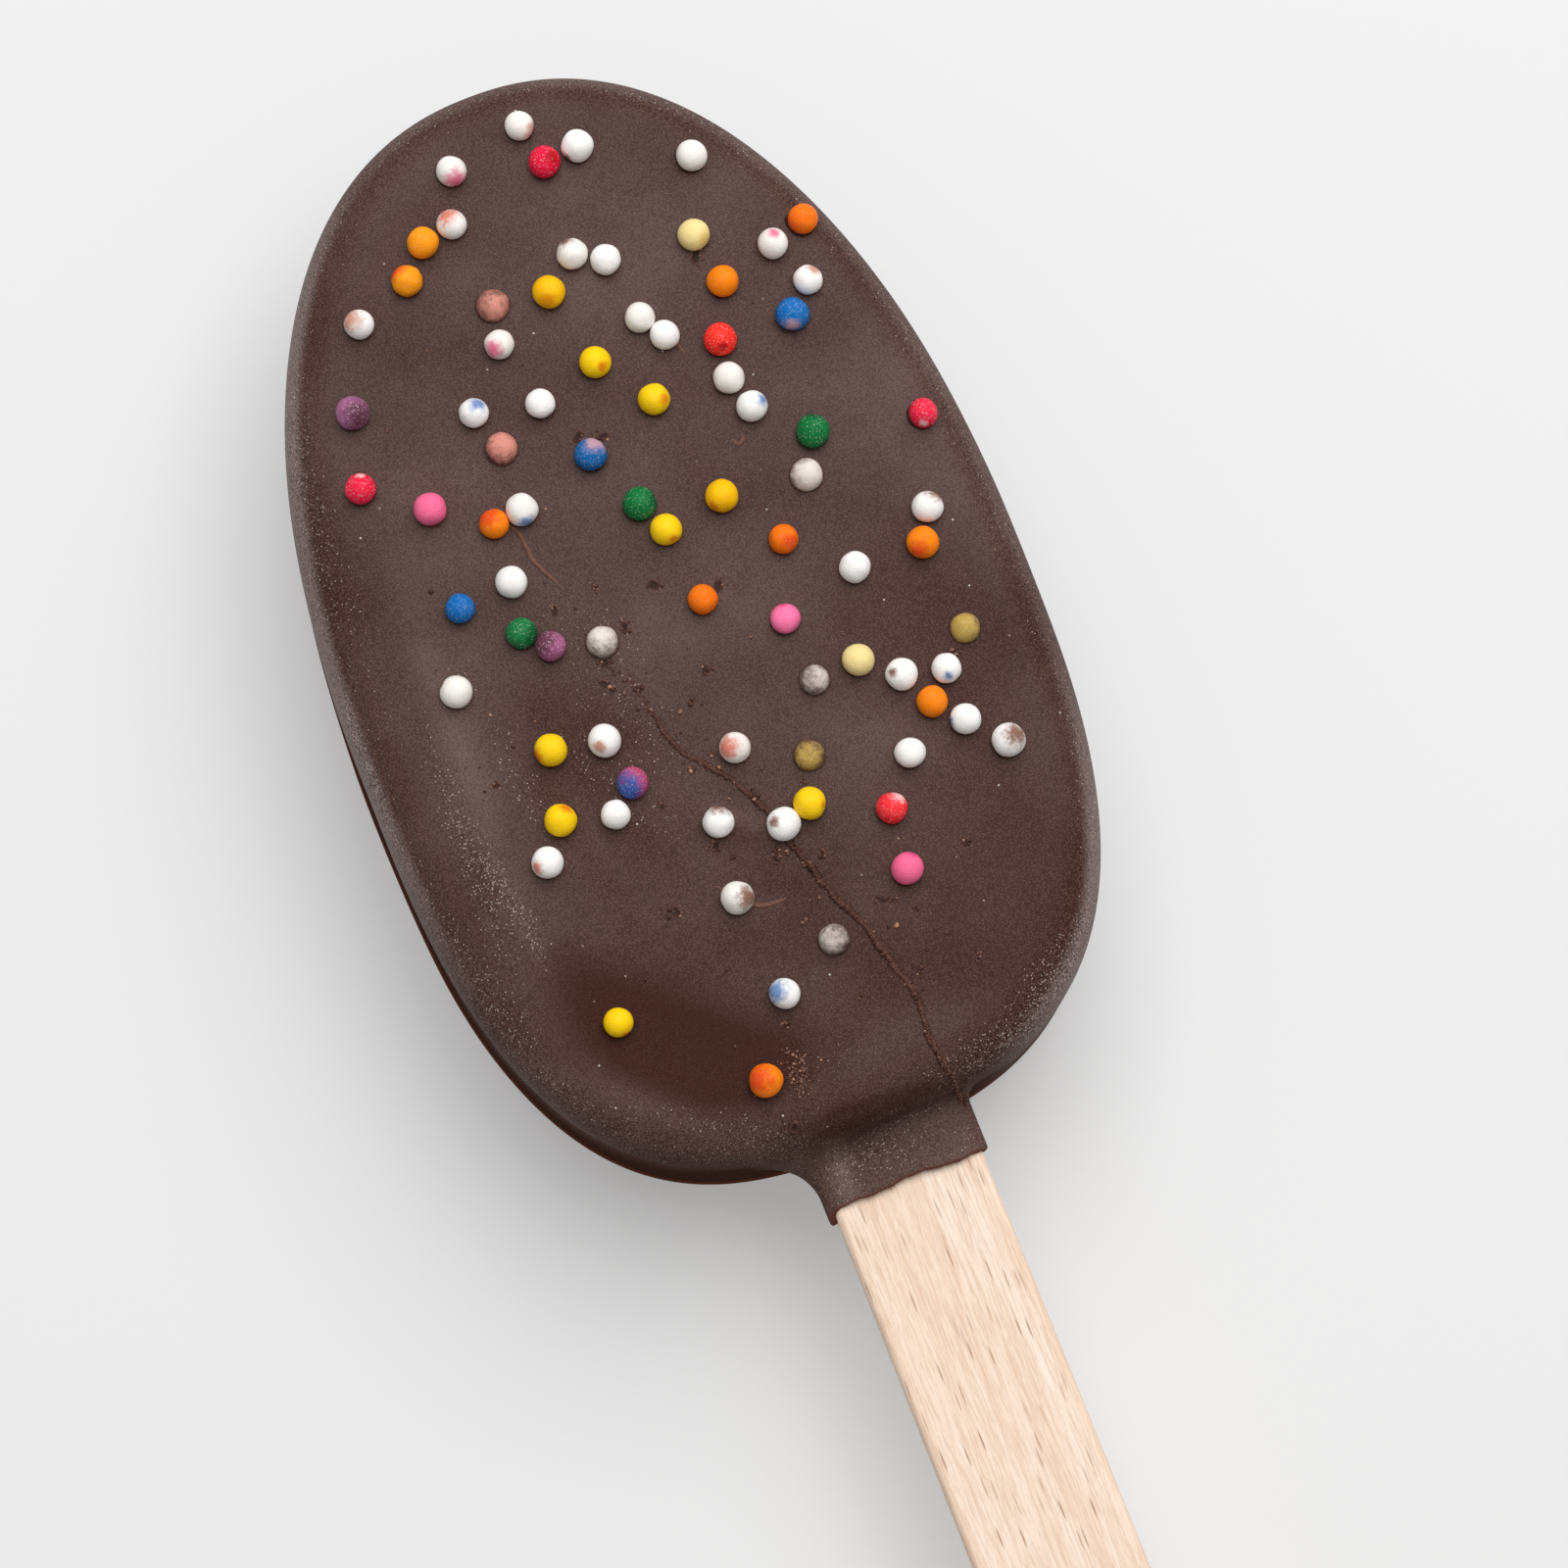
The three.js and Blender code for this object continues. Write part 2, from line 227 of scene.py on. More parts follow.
# Quads between the rows and columns of a grid. Its columns close up, and its rows if closed.
def gridQuads(rows, columns, first=0, closed=False):
    row, column = np.meshgrid(np.arange(rows - (not closed)), np.arange(columns), indexing="ij")
    here, below, beside = row * columns, (row + 1) % rows * columns, (column + 1) % columns
    quads = np.stack([here + column, below + column, below + beside, here + beside], -1)
    return quads.reshape(-1, 4) + first


# Triangles from one point to the ring that starts at `first`.
def fan(centre, first, columns, forward):
    ring = first + np.arange(columns)
    beside = first + (np.arange(columns) + 1) % columns
    order = (ring, beside) if forward else (beside, ring)
    return np.stack([np.full(columns, centre), *order], -1)


# Fans from the two points that follow a grid to its first and last row.
def endFans(rows, columns):
    after = rows * columns
    ends = [fan(after, 0, columns, True), fan(after + 1, after - columns, columns, False)]
    return np.concatenate(ends)


# The groups of faces of one shape of `size` points, repeated for each of its copies.
def repeated(groups, copies, size):
    starts = np.arange(copies)[:, None, None] * size
    return [(faces + starts).reshape(-1, faces.shape[1]) for faces in groups]


def steps(count):  # even parts of the way from 0 to 1, without 0
    return np.arange(1, count + 1) / count


def circle(count):  # even directions all round
    return np.arange(count) / count * 2 * math.pi


# Each direction of a circle that is spanned by two vectors for each place.
def turned(first, second, around):
    return first[:, None] * np.cos(around)[:, None] + second[:, None] * np.sin(around)[:, None]


def unit(vectors):  # each divided by its length
    return vectors / np.maximum(np.linalg.norm(vectors, axis=-1, keepdims=True), 1e-12)


def eased(value, low, high):  # 0 at low, 1 at high, with soft ends
    part = np.clip((value - low) / (high - low), 0, 1)
    return part * part * (3 - 2 * part)


def lerp(start, end, part):  # start plus that part of the way to end
    return start + (end - start) * part


# The bar's shape is that of the part's source.
barShape = {
    "halfWidth": 22.0,
    "tipLength": 38.6,  # from the widest line to the round tip
    "endLength": 31.4,  # from the widest line to the stick's end
    "tipRoundness": 2.2,
    "endRoundness": 2.85,
    "thickness": 18.5,
    "faceDome": 0.5,
    "shoulderWidth": 4.2,
    "shoulderRoundness": 2.5,
    "rimHeight": 14.9,
    "wallLean": 0.1,
    "footRadius": 1.3,
    "footTuck": 1.0,
    "stickShown": 51.2,
}
wholeLength = barShape["tipLength"] + barShape["endLength"] + barShape["stickShown"]
tipY = wholeLength / 2
widestY = tipY - barShape["tipLength"]
barEndY = widestY - barShape["endLength"]
faceInset = barShape["wallLean"] + barShape["shoulderWidth"]

# Soft round swells and hollows: place, half length, half width, direction, height. The first
# five are also in the part's source, the others only in the looks.
swells = [
    (-10.3, 0.6, 9, 3.8, -0.7, -0.5),
    (-16.6, 20, 14, 2.2, -1.57, 0.22),
    (-12.5, 17, 13, 2, -1.85, -0.2),
    (5, -3.5, 8, 2.6, 0.1, -0.25),
    (6, 38, 11, 8, 1.2, 0.15),
    (-14.6, -1.2, 8, 1.1, -0.95, 0.07),  # light band outside the hollow
    (-7.0, 14.5, 7, 0.9, -1.2, 0.05),  # soft ridges left of the crack
    (-10.6, 15.2, 8, 0.9, -1.35, 0.06),
    (-18.4, 30, 13, 1.0, -1.6, -0.06),  # groove beside the left shoulder
    (-1.2, 11.6, 3, 0.7, -0.75, 0.05),  # streak below the crack
    (-0.6, 6.2, 3.2, 0.8, -0.4, -0.06),  # dimple round the thread
    (7.6, 33.5, 1.6, 0.9, 0.3, -0.06),
    (9, 18, 15, 4, 1.4, 0.05),
]
coatRelief = {
    "seed": 7,
    "ripples": 16,
    "rippleHeight": 0.011,  # of each of the faint waves that add up
    "shortest": 5.0,
    "longest": 17.0,
    "wallWave": 0.08,  # how far the wall waves inwards
    "footBead": 0.1,  # how far a thin bead stands out round the foot
    "beadTop": 2.1,
    "beadFade": 0.5,
}


# Sum over the places of amount * exp(-(along^2 + across^2)), along and across being measured
# in half lengths and half widths.
def softPlaces(x, y, places):
    total = np.zeros(np.broadcast(x, y).shape)
    for placeX, placeY, long, wide, turn, amount in places:
        dx, dy = x - placeX, y - placeY
        along = (dx * math.cos(turn) + dy * math.sin(turn)) / long
        across = (dy * math.cos(turn) - dx * math.sin(turn)) / wide
        total = total + amount * np.exp(-(along**2 + across**2))
    return total


# Each half is a superellipse round the middle of the widest line, drawn in by `inset`.
def outlineReach(angle, inset):
    towardsTip = np.sin(angle) >= 0
    roundness = np.where(towardsTip, barShape["tipRoundness"], barShape["endRoundness"])
    length = np.where(towardsTip, barShape["tipLength"], barShape["endLength"])
    across = np.abs(np.cos(angle)) / (barShape["halfWidth"] - inset)
    along = np.abs(np.sin(angle)) / (length - inset)
    return (across**roundness + along**roundness) ** (-1 / roundness)


# The shoulder is a superellipse arc from the rim up to the face.
def shoulderHeight(inset):
    power = barShape["shoulderRoundness"]
    part = np.clip(1 - (inset - barShape["wallLean"]) / barShape["shoulderWidth"], 0, 1)
    rise = barShape["thickness"] - barShape["faceDome"] - barShape["rimHeight"]
    return barShape["rimHeight"] + rise * (1 - part**power) ** (1 / power)


# The swells and faint ripples: a sum of seeded sines of their own direction, length and phase.
def unevenness(x, y):
    draw = np.random.default_rng(coatRelief["seed"])
    ripple = np.zeros(np.broadcast(x, y).shape)
    for wave in range(coatRelief["ripples"]):
        turn, phase = draw.uniform(0, 2 * math.pi, 2)
        pace = 2 * math.pi / draw.uniform(coatRelief["shortest"], coatRelief["longest"])
        ripple = ripple + np.sin(pace * (x * math.cos(turn) + y * math.sin(turn)) + phase)
    return softPlaces(x, y, swells) + coatRelief["rippleHeight"] * ripple


# How far in from the outline a place on the face lies, found by halving.
def insetAt(x, y, halvings=24):
    angle, reach = np.arctan2(y - widestY, x), np.hypot(x, y - widestY)
    low, high = np.zeros(np.shape(reach)), np.full(np.shape(reach), faceInset)
    for halving in range(halvings):
        middle = (low + high) / 2
        inside = outlineReach(angle, middle) > reach
        low, high = np.where(inside, middle, low), np.where(inside, high, middle)
    return low


# The face falls from its middle by the square of the way to its edge, and then by the shoulder.
def faceHeight(x, y):
    scale = np.hypot(x, y - widestY) / outlineReach(np.arctan2(y - widestY, x), faceInset)
    face = barShape["thickness"] - barShape["faceDome"] * scale**2
    return np.where(scale <= 1, face, shoulderHeight(insetAt(x, y))) + unevenness(x, y)


# The upright tilted by the slopes between places `span` to either side.
def faceNormal(x, y, span=0.2):
    slopeX = (faceHeight(x - span, y) - faceHeight(x + span, y)) / (2 * span)
    slopeY = (faceHeight(x, y - span) - faceHeight(x, y + span)) / (2 * span)
    return unit(np.stack([slopeX, slopeY, np.ones(np.shape(slopeX))], -1))


# Points that lie `lift` above the face at each place.
def onFace(x, y, lift=0.0):
    base = np.stack([x, y, faceHeight(x, y)], -1)
    return base + faceNormal(x, y) * np.asarray(lift)[..., None]


coatDetail = {
    "plainColumns": 488,  # divisions of the outline beside the collar
    "collarColumns": 72,  # and across the collar's root
    "faceRows": 60,
    "shoulderRows": 24,  # a third of them lie above the collar's root
    "upperWallRows": 12,
    "lowerWallRows": 22,
    "lowerWallCrowding": 1.8,  # they lie closer together towards the foot
    "footRows": 8,
    "undersideRows": 6,
    "patchLeft": -9.3,  # the collar's root on the bar's end
    "patchRight": 7.1,
    "patchFoot": 8.2,
    "patchTopInset": 1.89,
    "patchDepth": 1.9,
    "flareRows": 26,
    "sleeveRows": 10,
    "lipRows": 6,
}
collar = {
    "stickOffset": 0.7,
    "stickMiddle": 11.6,
    "halfWidth": 5.45,
    "halfHeight": 1.6,
    "roundness": 7.0,
    "upperRoundness": 4.2,  # the top is rounder than the underside
    "reach": 3.5,  # beyond the bar's end
    "flareEnd": 0.6,
    "leftFlareEnd": 0.5,  # short of the collar's end
    "flarePull": 0.42,
    "topFlareEnd": -0.1,  # the upper side falls off the bar late and then turns sharply
    "topStartPull": 0.5,
    "topEndPull": 0.2,
    "mouthWave": 0.09,
    "leftFlap": 0.8,  # how much further the coat reaches on the stick's left side
    "lipRadius": 0.2,
    "insideLip": [(0.05, 0.45), (1.4, 0.5)],  # way back into the mouth, inset
    "softening": 40,  # rounds of smoothing where the collar leaves the bar
    "softeningFade": (0.6, 2.6),  # distances from the root
    "softeningDepth": 9,  # how far up the bar it may reach
    "softRings": (0.4, 0.85),  # shares of the flare over which it ends
    "toneRings": 0.6,  # share of the flare over which the collar's tone comes in
}
collarEndY = barEndY - collar["reach"]


# Rows from the middle of the face round the shoulder, down the wall and to the middle of the
# underside: inset from the outline, scale towards the middle, height, share of the unevenness.
def coatRows():
    d, s, relief = coatDetail, barShape, coatRelief
    face, turn = steps(d["faceRows"]), steps(d["shoulderRows"]) * math.pi / 2
    fall = 1 - np.sin(turn) ** (2 / s["shoulderRoundness"])
    shoulder = s["wallLean"] + s["shoulderWidth"] * fall
    upper = np.linspace(s["rimHeight"], d["patchFoot"], d["upperWallRows"] + 1)[1:]
    part = np.linspace(1, 0, d["lowerWallRows"] + 1)[1:-1] ** d["lowerWallCrowding"]
    wall = np.concatenate([upper, lerp(s["footRadius"], d["patchFoot"], part)])
    aboveBead = eased(wall, relief["beadTop"] - relief["beadFade"], relief["beadTop"])
    wallInset = np.maximum(s["wallLean"], relief["footBead"]) * aboveBead
    foot = np.arange(d["footRows"] + 1) / d["footRows"] * math.pi / 2
    under = 1 - steps(d["undersideRows"])[:-1]
    sections = [
        (faceInset, face, s["thickness"] - s["faceDome"] * face**2, 1),
        (shoulder, 1, shoulderHeight(shoulder), np.cos(turn) ** 2),
        (wallInset, 1, wall, 0),
        (s["footTuck"] * (1 - np.cos(foot)), 1, s["footRadius"] * (1 - np.sin(foot)), 0),
        (s["footTuck"], under, 0, 0),
    ]
    rows = [np.stack(np.broadcast_arrays(*section)) for section in sections]
    return np.concatenate(rows, 1)[..., None]


# Directions from the middle of the widest line: even ones across the root, then the others.
def columnAngles():
    d = coatDetail
    start = math.atan2(-barShape["endLength"], d["patchLeft"])
    width = math.atan2(-barShape["endLength"], d["patchRight"]) - start
    across = start + width * np.arange(d["collarColumns"] + 1) / d["collarColumns"]
    rest = start + width + (2 * math.pi - width) * steps(d["plainColumns"])[:-1]
    return np.concatenate([across, rest])


# A point of the collar's section, a superellipse round the stick, in the direction `turn`.
def collarSection(turn, y, inset=0.0):
    power = np.where(np.sin(turn) > 0, collar["upperRoundness"], collar["roundness"])
    reach = (np.abs(np.cos(turn)) ** power + np.abs(np.sin(turn)) ** power) ** (-1 / power)
    x = collar["stickOffset"] + (collar["halfWidth"] - inset) * np.cos(turn) * reach
    z = collar["stickMiddle"] + (collar["halfHeight"] - inset) * np.sin(turn) * reach
    return np.stack([x, np.broadcast_to(y, x.shape), z], -1)


# The mouth wanders about the collar's end as a sum of sines across the stick.
def mouthY(x):
    waves = [(1, 1.3, 0), (1, 0.5, 1), (0.3, 4.1, 0), (0.15, 9.7, 2)]  # height, pace, phase
    wander = sum(height * np.sin(pace * x + phase) for height, pace, phase in waves)
    return collarEndY + collar["mouthWave"] * wander


# Rings that leave the root's edge along the bar's surface and bend, as cubic Bezier curves,
# until they run along the stick, then the sleeve, the rounded lip and its way in to the wood.
def collarRings(grid, spotRow, spotColumn):
    c, d, columns = collar, coatDetail, grid.shape[1]
    start = grid[spotRow, spotColumn]
    beside, before = (grid[spotRow, (spotColumn + way) % columns] for way in (1, -1))
    below = grid[spotRow + 1, spotColumn] - grid[spotRow - 1, spotColumn]
    normal = unit(np.cross(beside - before, below))
    heights = grid[:, d["collarColumns"] // 2, 2]
    roomAbove = heights[spotRow.min()] - c["stickMiddle"]
    roomBelow = c["stickMiddle"] - heights[spotRow.max()]
    roomLeft, roomRight = c["stickOffset"] - d["patchLeft"], d["patchRight"] - c["stickOffset"]
    across, up = start[:, 0] - c["stickOffset"], start[:, 2] - c["stickMiddle"]
    aside = across / np.where(across < 0, roomLeft, roomRight)
    turn = np.arctan2(up / np.where(up < 0, roomBelow, roomAbove), aside)
    left, upness = np.maximum(0, -np.cos(turn)), np.maximum(0, np.sin(turn)) ** 2
    levelEnd = lerp(barEndY - c["flareEnd"], barEndY - c["topFlareEnd"], upness)
    endY = lerp(levelEnd, collarEndY + c["leftFlareEnd"], left**2)
    end = collarSection(turn, endY)
    way = end - start
    length = np.linalg.norm(way, axis=1, keepdims=True)
    leaving = unit(way - normal * np.sum(way * normal, axis=1, keepdims=True))
    startShare = lerp(c["flarePull"], c["topStartPull"], upness)[:, None]
    endShare = lerp(c["flarePull"], c["topEndPull"], upness)[:, None]
    startPull = start + leaving * length * startShare
    endPull = end + length * endShare * np.array([0, 1, 0])
    part = steps(d["flareRows"])[:, None, None]
    flare = (1 - part) ** 3 * start + 3 * part * (1 - part) ** 2 * startPull
    flare = flare + 3 * part**2 * (1 - part) * endPull + part**3 * end
    mouth, lip = mouthY(end[:, 0]) - c["leftFlap"] * left**6, c["lipRadius"]
    rows = [(lerp(endY, mouth + lip, part), 0.0) for part in steps(d["sleeveRows"])]
    for bend in steps(d["lipRows"]) * math.pi / 2:
        rows.append((mouth + lip * (1 - math.sin(bend)), lip * (1 - math.cos(bend))))
    rows += [(mouth + back, inset) for back, inset in c["insideLip"]]
    return np.concatenate([flare, np.stack([collarSection(turn, *row) for row in rows])])


# Each round moves a point half of its share of the way to the mean of its neighbours.
def soften(points, links, share, rounds):
    ends, others = np.concatenate([links, links[:, ::-1]]).T
    count = np.maximum(np.bincount(ends, minlength=len(points)), 1)[:, None]
    for number in range(rounds):
        sums = [np.bincount(ends, points[others, axis], len(points)) for axis in range(3)]
        points = points + 0.5 * share[:, None] * (np.stack(sums, 1) / count - points)
    return points


# The rows on every column's outline, waving a little on the wall, with the collar grown from a
# patch that is left out of them.
def coatSurface():
    d, c, angles = coatDetail, collar, columnAngles()[None, :]
    inset, scale, height, uneven = coatRows()
    rows, columns = len(inset), angles.shape[1]
    waves = np.sin(5 * angles + 0.45 * height) + np.sin(11 * angles - 0.3 * height + 2)
    onWall = eased(barShape["thickness"] - 1.5 - height, 0, 3) * (scale == 1)
    waved = inset + coatRelief["wallWave"] * (0.5 + 0.25 * waves) * onWall
    reach = outlineReach(angles, waved) * scale
    x, y = reach * np.cos(angles), widestY + reach * np.sin(angles)
    grid = np.stack([x, y, height + uneven * unevenness(x, y)], -1)

    firstRow = d["faceRows"] - 1 + d["shoulderRows"] // 3
    lastRow = d["faceRows"] - 1 + d["shoulderRows"] + d["upperWallRows"]
    last, side = d["collarColumns"], np.arange(firstRow, lastRow)
    spotRow = [np.full(last, firstRow), side, np.full(last, lastRow), side[::-1] + 1]
    spotColumn = [np.arange(last), np.full(len(side), last), np.arange(last, 0, -1), 0 * side]
    spotRow, spotColumn = np.concatenate(spotRow), np.concatenate(spotColumn)
    rings = collarRings(grid, spotRow, spotColumn)
    spots = len(spotRow)

    quads = gridQuads(rows, columns)
    row, column = quads[:, 0] // columns, quads[:, 0] % columns
    quads = quads[~((column < last) & (row >= firstRow) & (row < lastRow))]
    ringStart, edge = rows * columns, spotRow * columns + spotColumn
    firstRing, nextSpot = ringStart + np.arange(spots), (np.arange(spots) + 1) % spots
    joint = np.stack([edge, firstRing, firstRing[nextSpot], edge[nextSpot]], -1)
    quads = np.concatenate([quads, joint, gridQuads(len(rings), spots, ringStart)])
    centres = np.array([
        [0, widestY, barShape["thickness"] + unevenness(0.0, widestY)],
        [0, widestY, 0],
        [c["stickOffset"], collarEndY + c["insideLip"][-1][0], c["stickMiddle"]],
    ])
    points = np.concatenate([grid.reshape(-1, 3), rings.reshape(-1, 3), centres])
    top = len(points) - 3
    triangles = np.concatenate([
        fan(top, 0, columns, True),
        fan(top + 1, (rows - 1) * columns, columns, False),
        fan(top + 2, top - spots, spots, False),
    ])

    x, y, z = points.T
    beside = np.maximum(np.maximum(d["patchLeft"] - x, x - d["patchRight"]), 0)
    patchTop = shoulderHeight(d["patchTopInset"])
    above = np.maximum(np.maximum(d["patchFoot"] - z, z - patchTop), 0)
    deep = np.maximum(y - barEndY - d["patchDepth"], 0)
    away = np.sqrt(beside**2 + above**2 + deep**2)
    share, inCollar, onLip = 1 - eased(away, *c["softeningFade"]), 0 * x, 0 * x
    ring, flare = np.repeat(np.arange(len(rings)), spots), d["flareRows"]
    share[ringStart:top] = 1 - eased(ring, *(flare * part for part in c["softRings"]))
    share[top:] = 0
    share[y > barEndY + c["softeningDepth"]] = 0
    share[edge] = 1
    links = np.concatenate([quads[:, [0, 1]], quads[:, [1, 2]]])
    links = links[share[links].max(1) > 0]
    inCollar[ringStart:top] = eased(ring, 0, flare * c["toneRings"])
    onLip[ringStart:top] = eased(ring - flare - d["sleeveRows"], -1, 2)
    return soften(points, links, share, c["softening"]), [quads, triangles], inCollar, onLip


# Where the chocolate's tone changes, on the same terms as the swells.
toneAreas = {
    # hollowAndPaintedShade: the hollow's bare chocolate, darkened further as painted shade; the
    # last two are painted shade in the valley where the collar leaves the bar
    "hollowAndPaintedShade": [
        (-10.3, 0.2, 8.2, 4.0, -0.62, 1.1), (-13.9, 6.2, 4.5, 2.0, -1.0, 0.3),
        (-6.0, -3.4, 4.5, 2.2, 0.0, 0.5), (1.6, -8.2, 5.2, 0.7, 0.0, 0.8),
        (-2.2, -8.2, 2.2, 1.2, 0.3, 0.5),
    ],
    "reddish": [
        (-9, 16, 8, 4, -1.2, 0.5), (13.5, 8, 14, 5, 1.5, 0.5), (12, 20, 5, 4, 0, 0.45),
        (-8, 52, 5, 3, 0.6, 0.35), (3.3, 36, 7, 5, 0, 0.3), (-5.5, 4, 5, 3, 0, 0.35),
        (9, 0, 9, 4, 0.2, 0.45), (-3, 12, 12, 3, -1.1, 0.3),
    ],
    "dusty": [
        (-17.4, 15, 7, 0.7, -1.6, 0.7), (-16.0, 11.5, 4.2, 0.6, -1.44, 1.0),
        (-19.3, 7, 6, 0.9, -1.36, 0.3), (-10.5, -4.6, 7, 0.8, -0.6, 0.35),
        (-14.1, 25.6, 1.2, 0.7, 0.4, 0.6), (-18.6, 40, 11, 1.2, 1.5, 0.3),
        (-5, -4.5, 3.5, 1.1, 0.1, 0.4), (8.3, -7.2, 3.2, 1.0, 0.2, 0.6),
        (13, -5.0, 4, 1.1, 0.65, 0.9), (-8, 17, 3, 1.0, -1.2, 0.25),
        (-5.2, 20, 7, 2.2, -1.55, 0.2), (-12.6, 18, 3, 0.8, -1.45, 0.4),
        (-21.3, 23, 4.5, 0.35, 1.57, 0.9), (-0.2, -10.5, 2.6, 1.0, 0.1, 0.5),
        (-3.0, -11.0, 2.2, 0.6, 1.45, 0.6),
    ],
    # paleBloomAndHighlight: paler bloom, and painted highlight on the collar's left ridge, on the
    # streak below the crack and along the left shoulder
    "paleBloomAndHighlight": [
        (-16.0, 11.5, 4.2, 0.7, -1.44, 0.45), (-13.8, -2.2, 7, 1.0, -0.75, 0.45),
        (-1.2, 11.6, 2.6, 0.6, -0.75, 0.5), (-15.5, 22, 9, 0.9, -1.6, 0.4),
        (-14.5, 25, 13, 4, -1.6, 0.22), (2.6, 46.5, 1.0, 0.8, 0, 0.4),
        (-3.1, -11.0, 2.6, 0.8, 1.45, 1.0),
    ],
}
toneHeights = {  # between which a mask comes in
    "face": (11, 12.8),
    "shoulder": (14.2, 16.2),
    "shoulderEnd": (17.0, 17.9),
    "rim": (14.9, 16.3),
    "rimEnd": (16.9, 17.5),
    "dull": (12.6, 14.6),
    "lowDull": (15.5, 17.5),
    "foot": (-0.01, 0.12),
    "footEnd": (1.6, 2.9),
    "wallShadeTop": 13.6,
    "wallShadeSpread": 1.0,  # half of the height over which the painted shade on the wall ends
    "rimSpread": 1.2,
}
chocolateLooks = {
    "broadScale": 95,
    "grainScale": 8200,  # dots of the stipple
    "speckScale": 1700,
    "sheenRoughness": 0.36,
    "bare": (62, 38, 33),
    "bloomed": (120, 97, 91),
    "reddish": (86, 54, 49),
    # rim: painted highlight, the pale grey of light reflected along the rounded rim
    "rim": (152, 135, 132),
    "gap": (40, 22, 18),
    "dot": (142, 118, 106),
    "dust": (198, 187, 180),
    # wall: painted shade, the dark brown of the wall where it faces away from the light
    "wall": (62, 40, 35),
    "warmSpeck": (176, 150, 134),
    "paleSpeck": (214, 206, 200),
    "edge": (106, 60, 43),
}


# Each mask is a product of fades by height and by side. The wall is painted dark, as painted
# shade, below a line that rises beside the collar and falls outwards, except on the lit side of
# the stick's end, where the rim's painted highlight reaches down instead.
def toneMasks(points, inCollar, onLip):
    h, (x, y, z) = toneHeights, points.T
    masks = {}
    for name, places in toneAreas.items():
        masks[name] = np.clip(softPlaces(x, y, places), 0, 1) * eased(z, *h["face"])
    masks["shoulder"] = eased(z, *h["shoulder"]) * (1 - eased(z, *h["shoulderEnd"]))
    masks["inCollar"] = inCollar
    litWall = eased(x, 6, 12) * eased(12 - y, 0, 12)
    outward = eased(np.abs(x), 4, 16)
    besideCollar = np.exp(-(((x + 6.4) / 2.2) ** 2)) * eased(-y, 7.0, 8.4)
    # rimHighlightSide: how strongly the rim's painted highlight shows on each side, most on the
    # left and at the lower right
    rimHighlightSide = 0.05 + 0.2 * eased(y, 5, 25) + 0.75 * eased(-x, 8, 17) * eased(y, 4, 20)
    rimHighlightSide = rimHighlightSide + 0.9 * eased(x, 7, 15) * eased(20 - y, 0, 20)
    rimFoot = h["wallShadeTop"] - 7 * litWall
    rim = (0.5 + 0.5 * eased(z, *h["rim"])) * eased(z, rimFoot, rimFoot + h["rimSpread"])
    masks["rim"] = rim * (1 - eased(z, *h["rimEnd"])) * (1 - inCollar) * rimHighlightSide
    wallShadeTop = h["wallShadeTop"] + 2.5 * besideCollar - 4.0 * outward - 5.0 * litWall
    spread = h["wallShadeSpread"] + 2 * outward
    masks["wall"] = (1 - eased(z, wallShadeTop - spread, wallShadeTop + spread)) * (1 - inCollar)
    lowDull = 0.75 * eased(-y, 0, 7) * (1 - eased(z, *h["lowDull"])) * (1 - eased(x, 6, 11))
    dull = np.maximum(1 - eased(z, *h["dull"]), lowDull)
    masks["dull"] = dull * (1 - inCollar) * (1 - litWall)
    foot = (1 - eased(z, *h["footEnd"])) * eased(z, *h["foot"]) * (1 - 0.5 * eased(x, 6, 12))
    masks["edge"] = np.maximum(onLip, foot)
    return masks


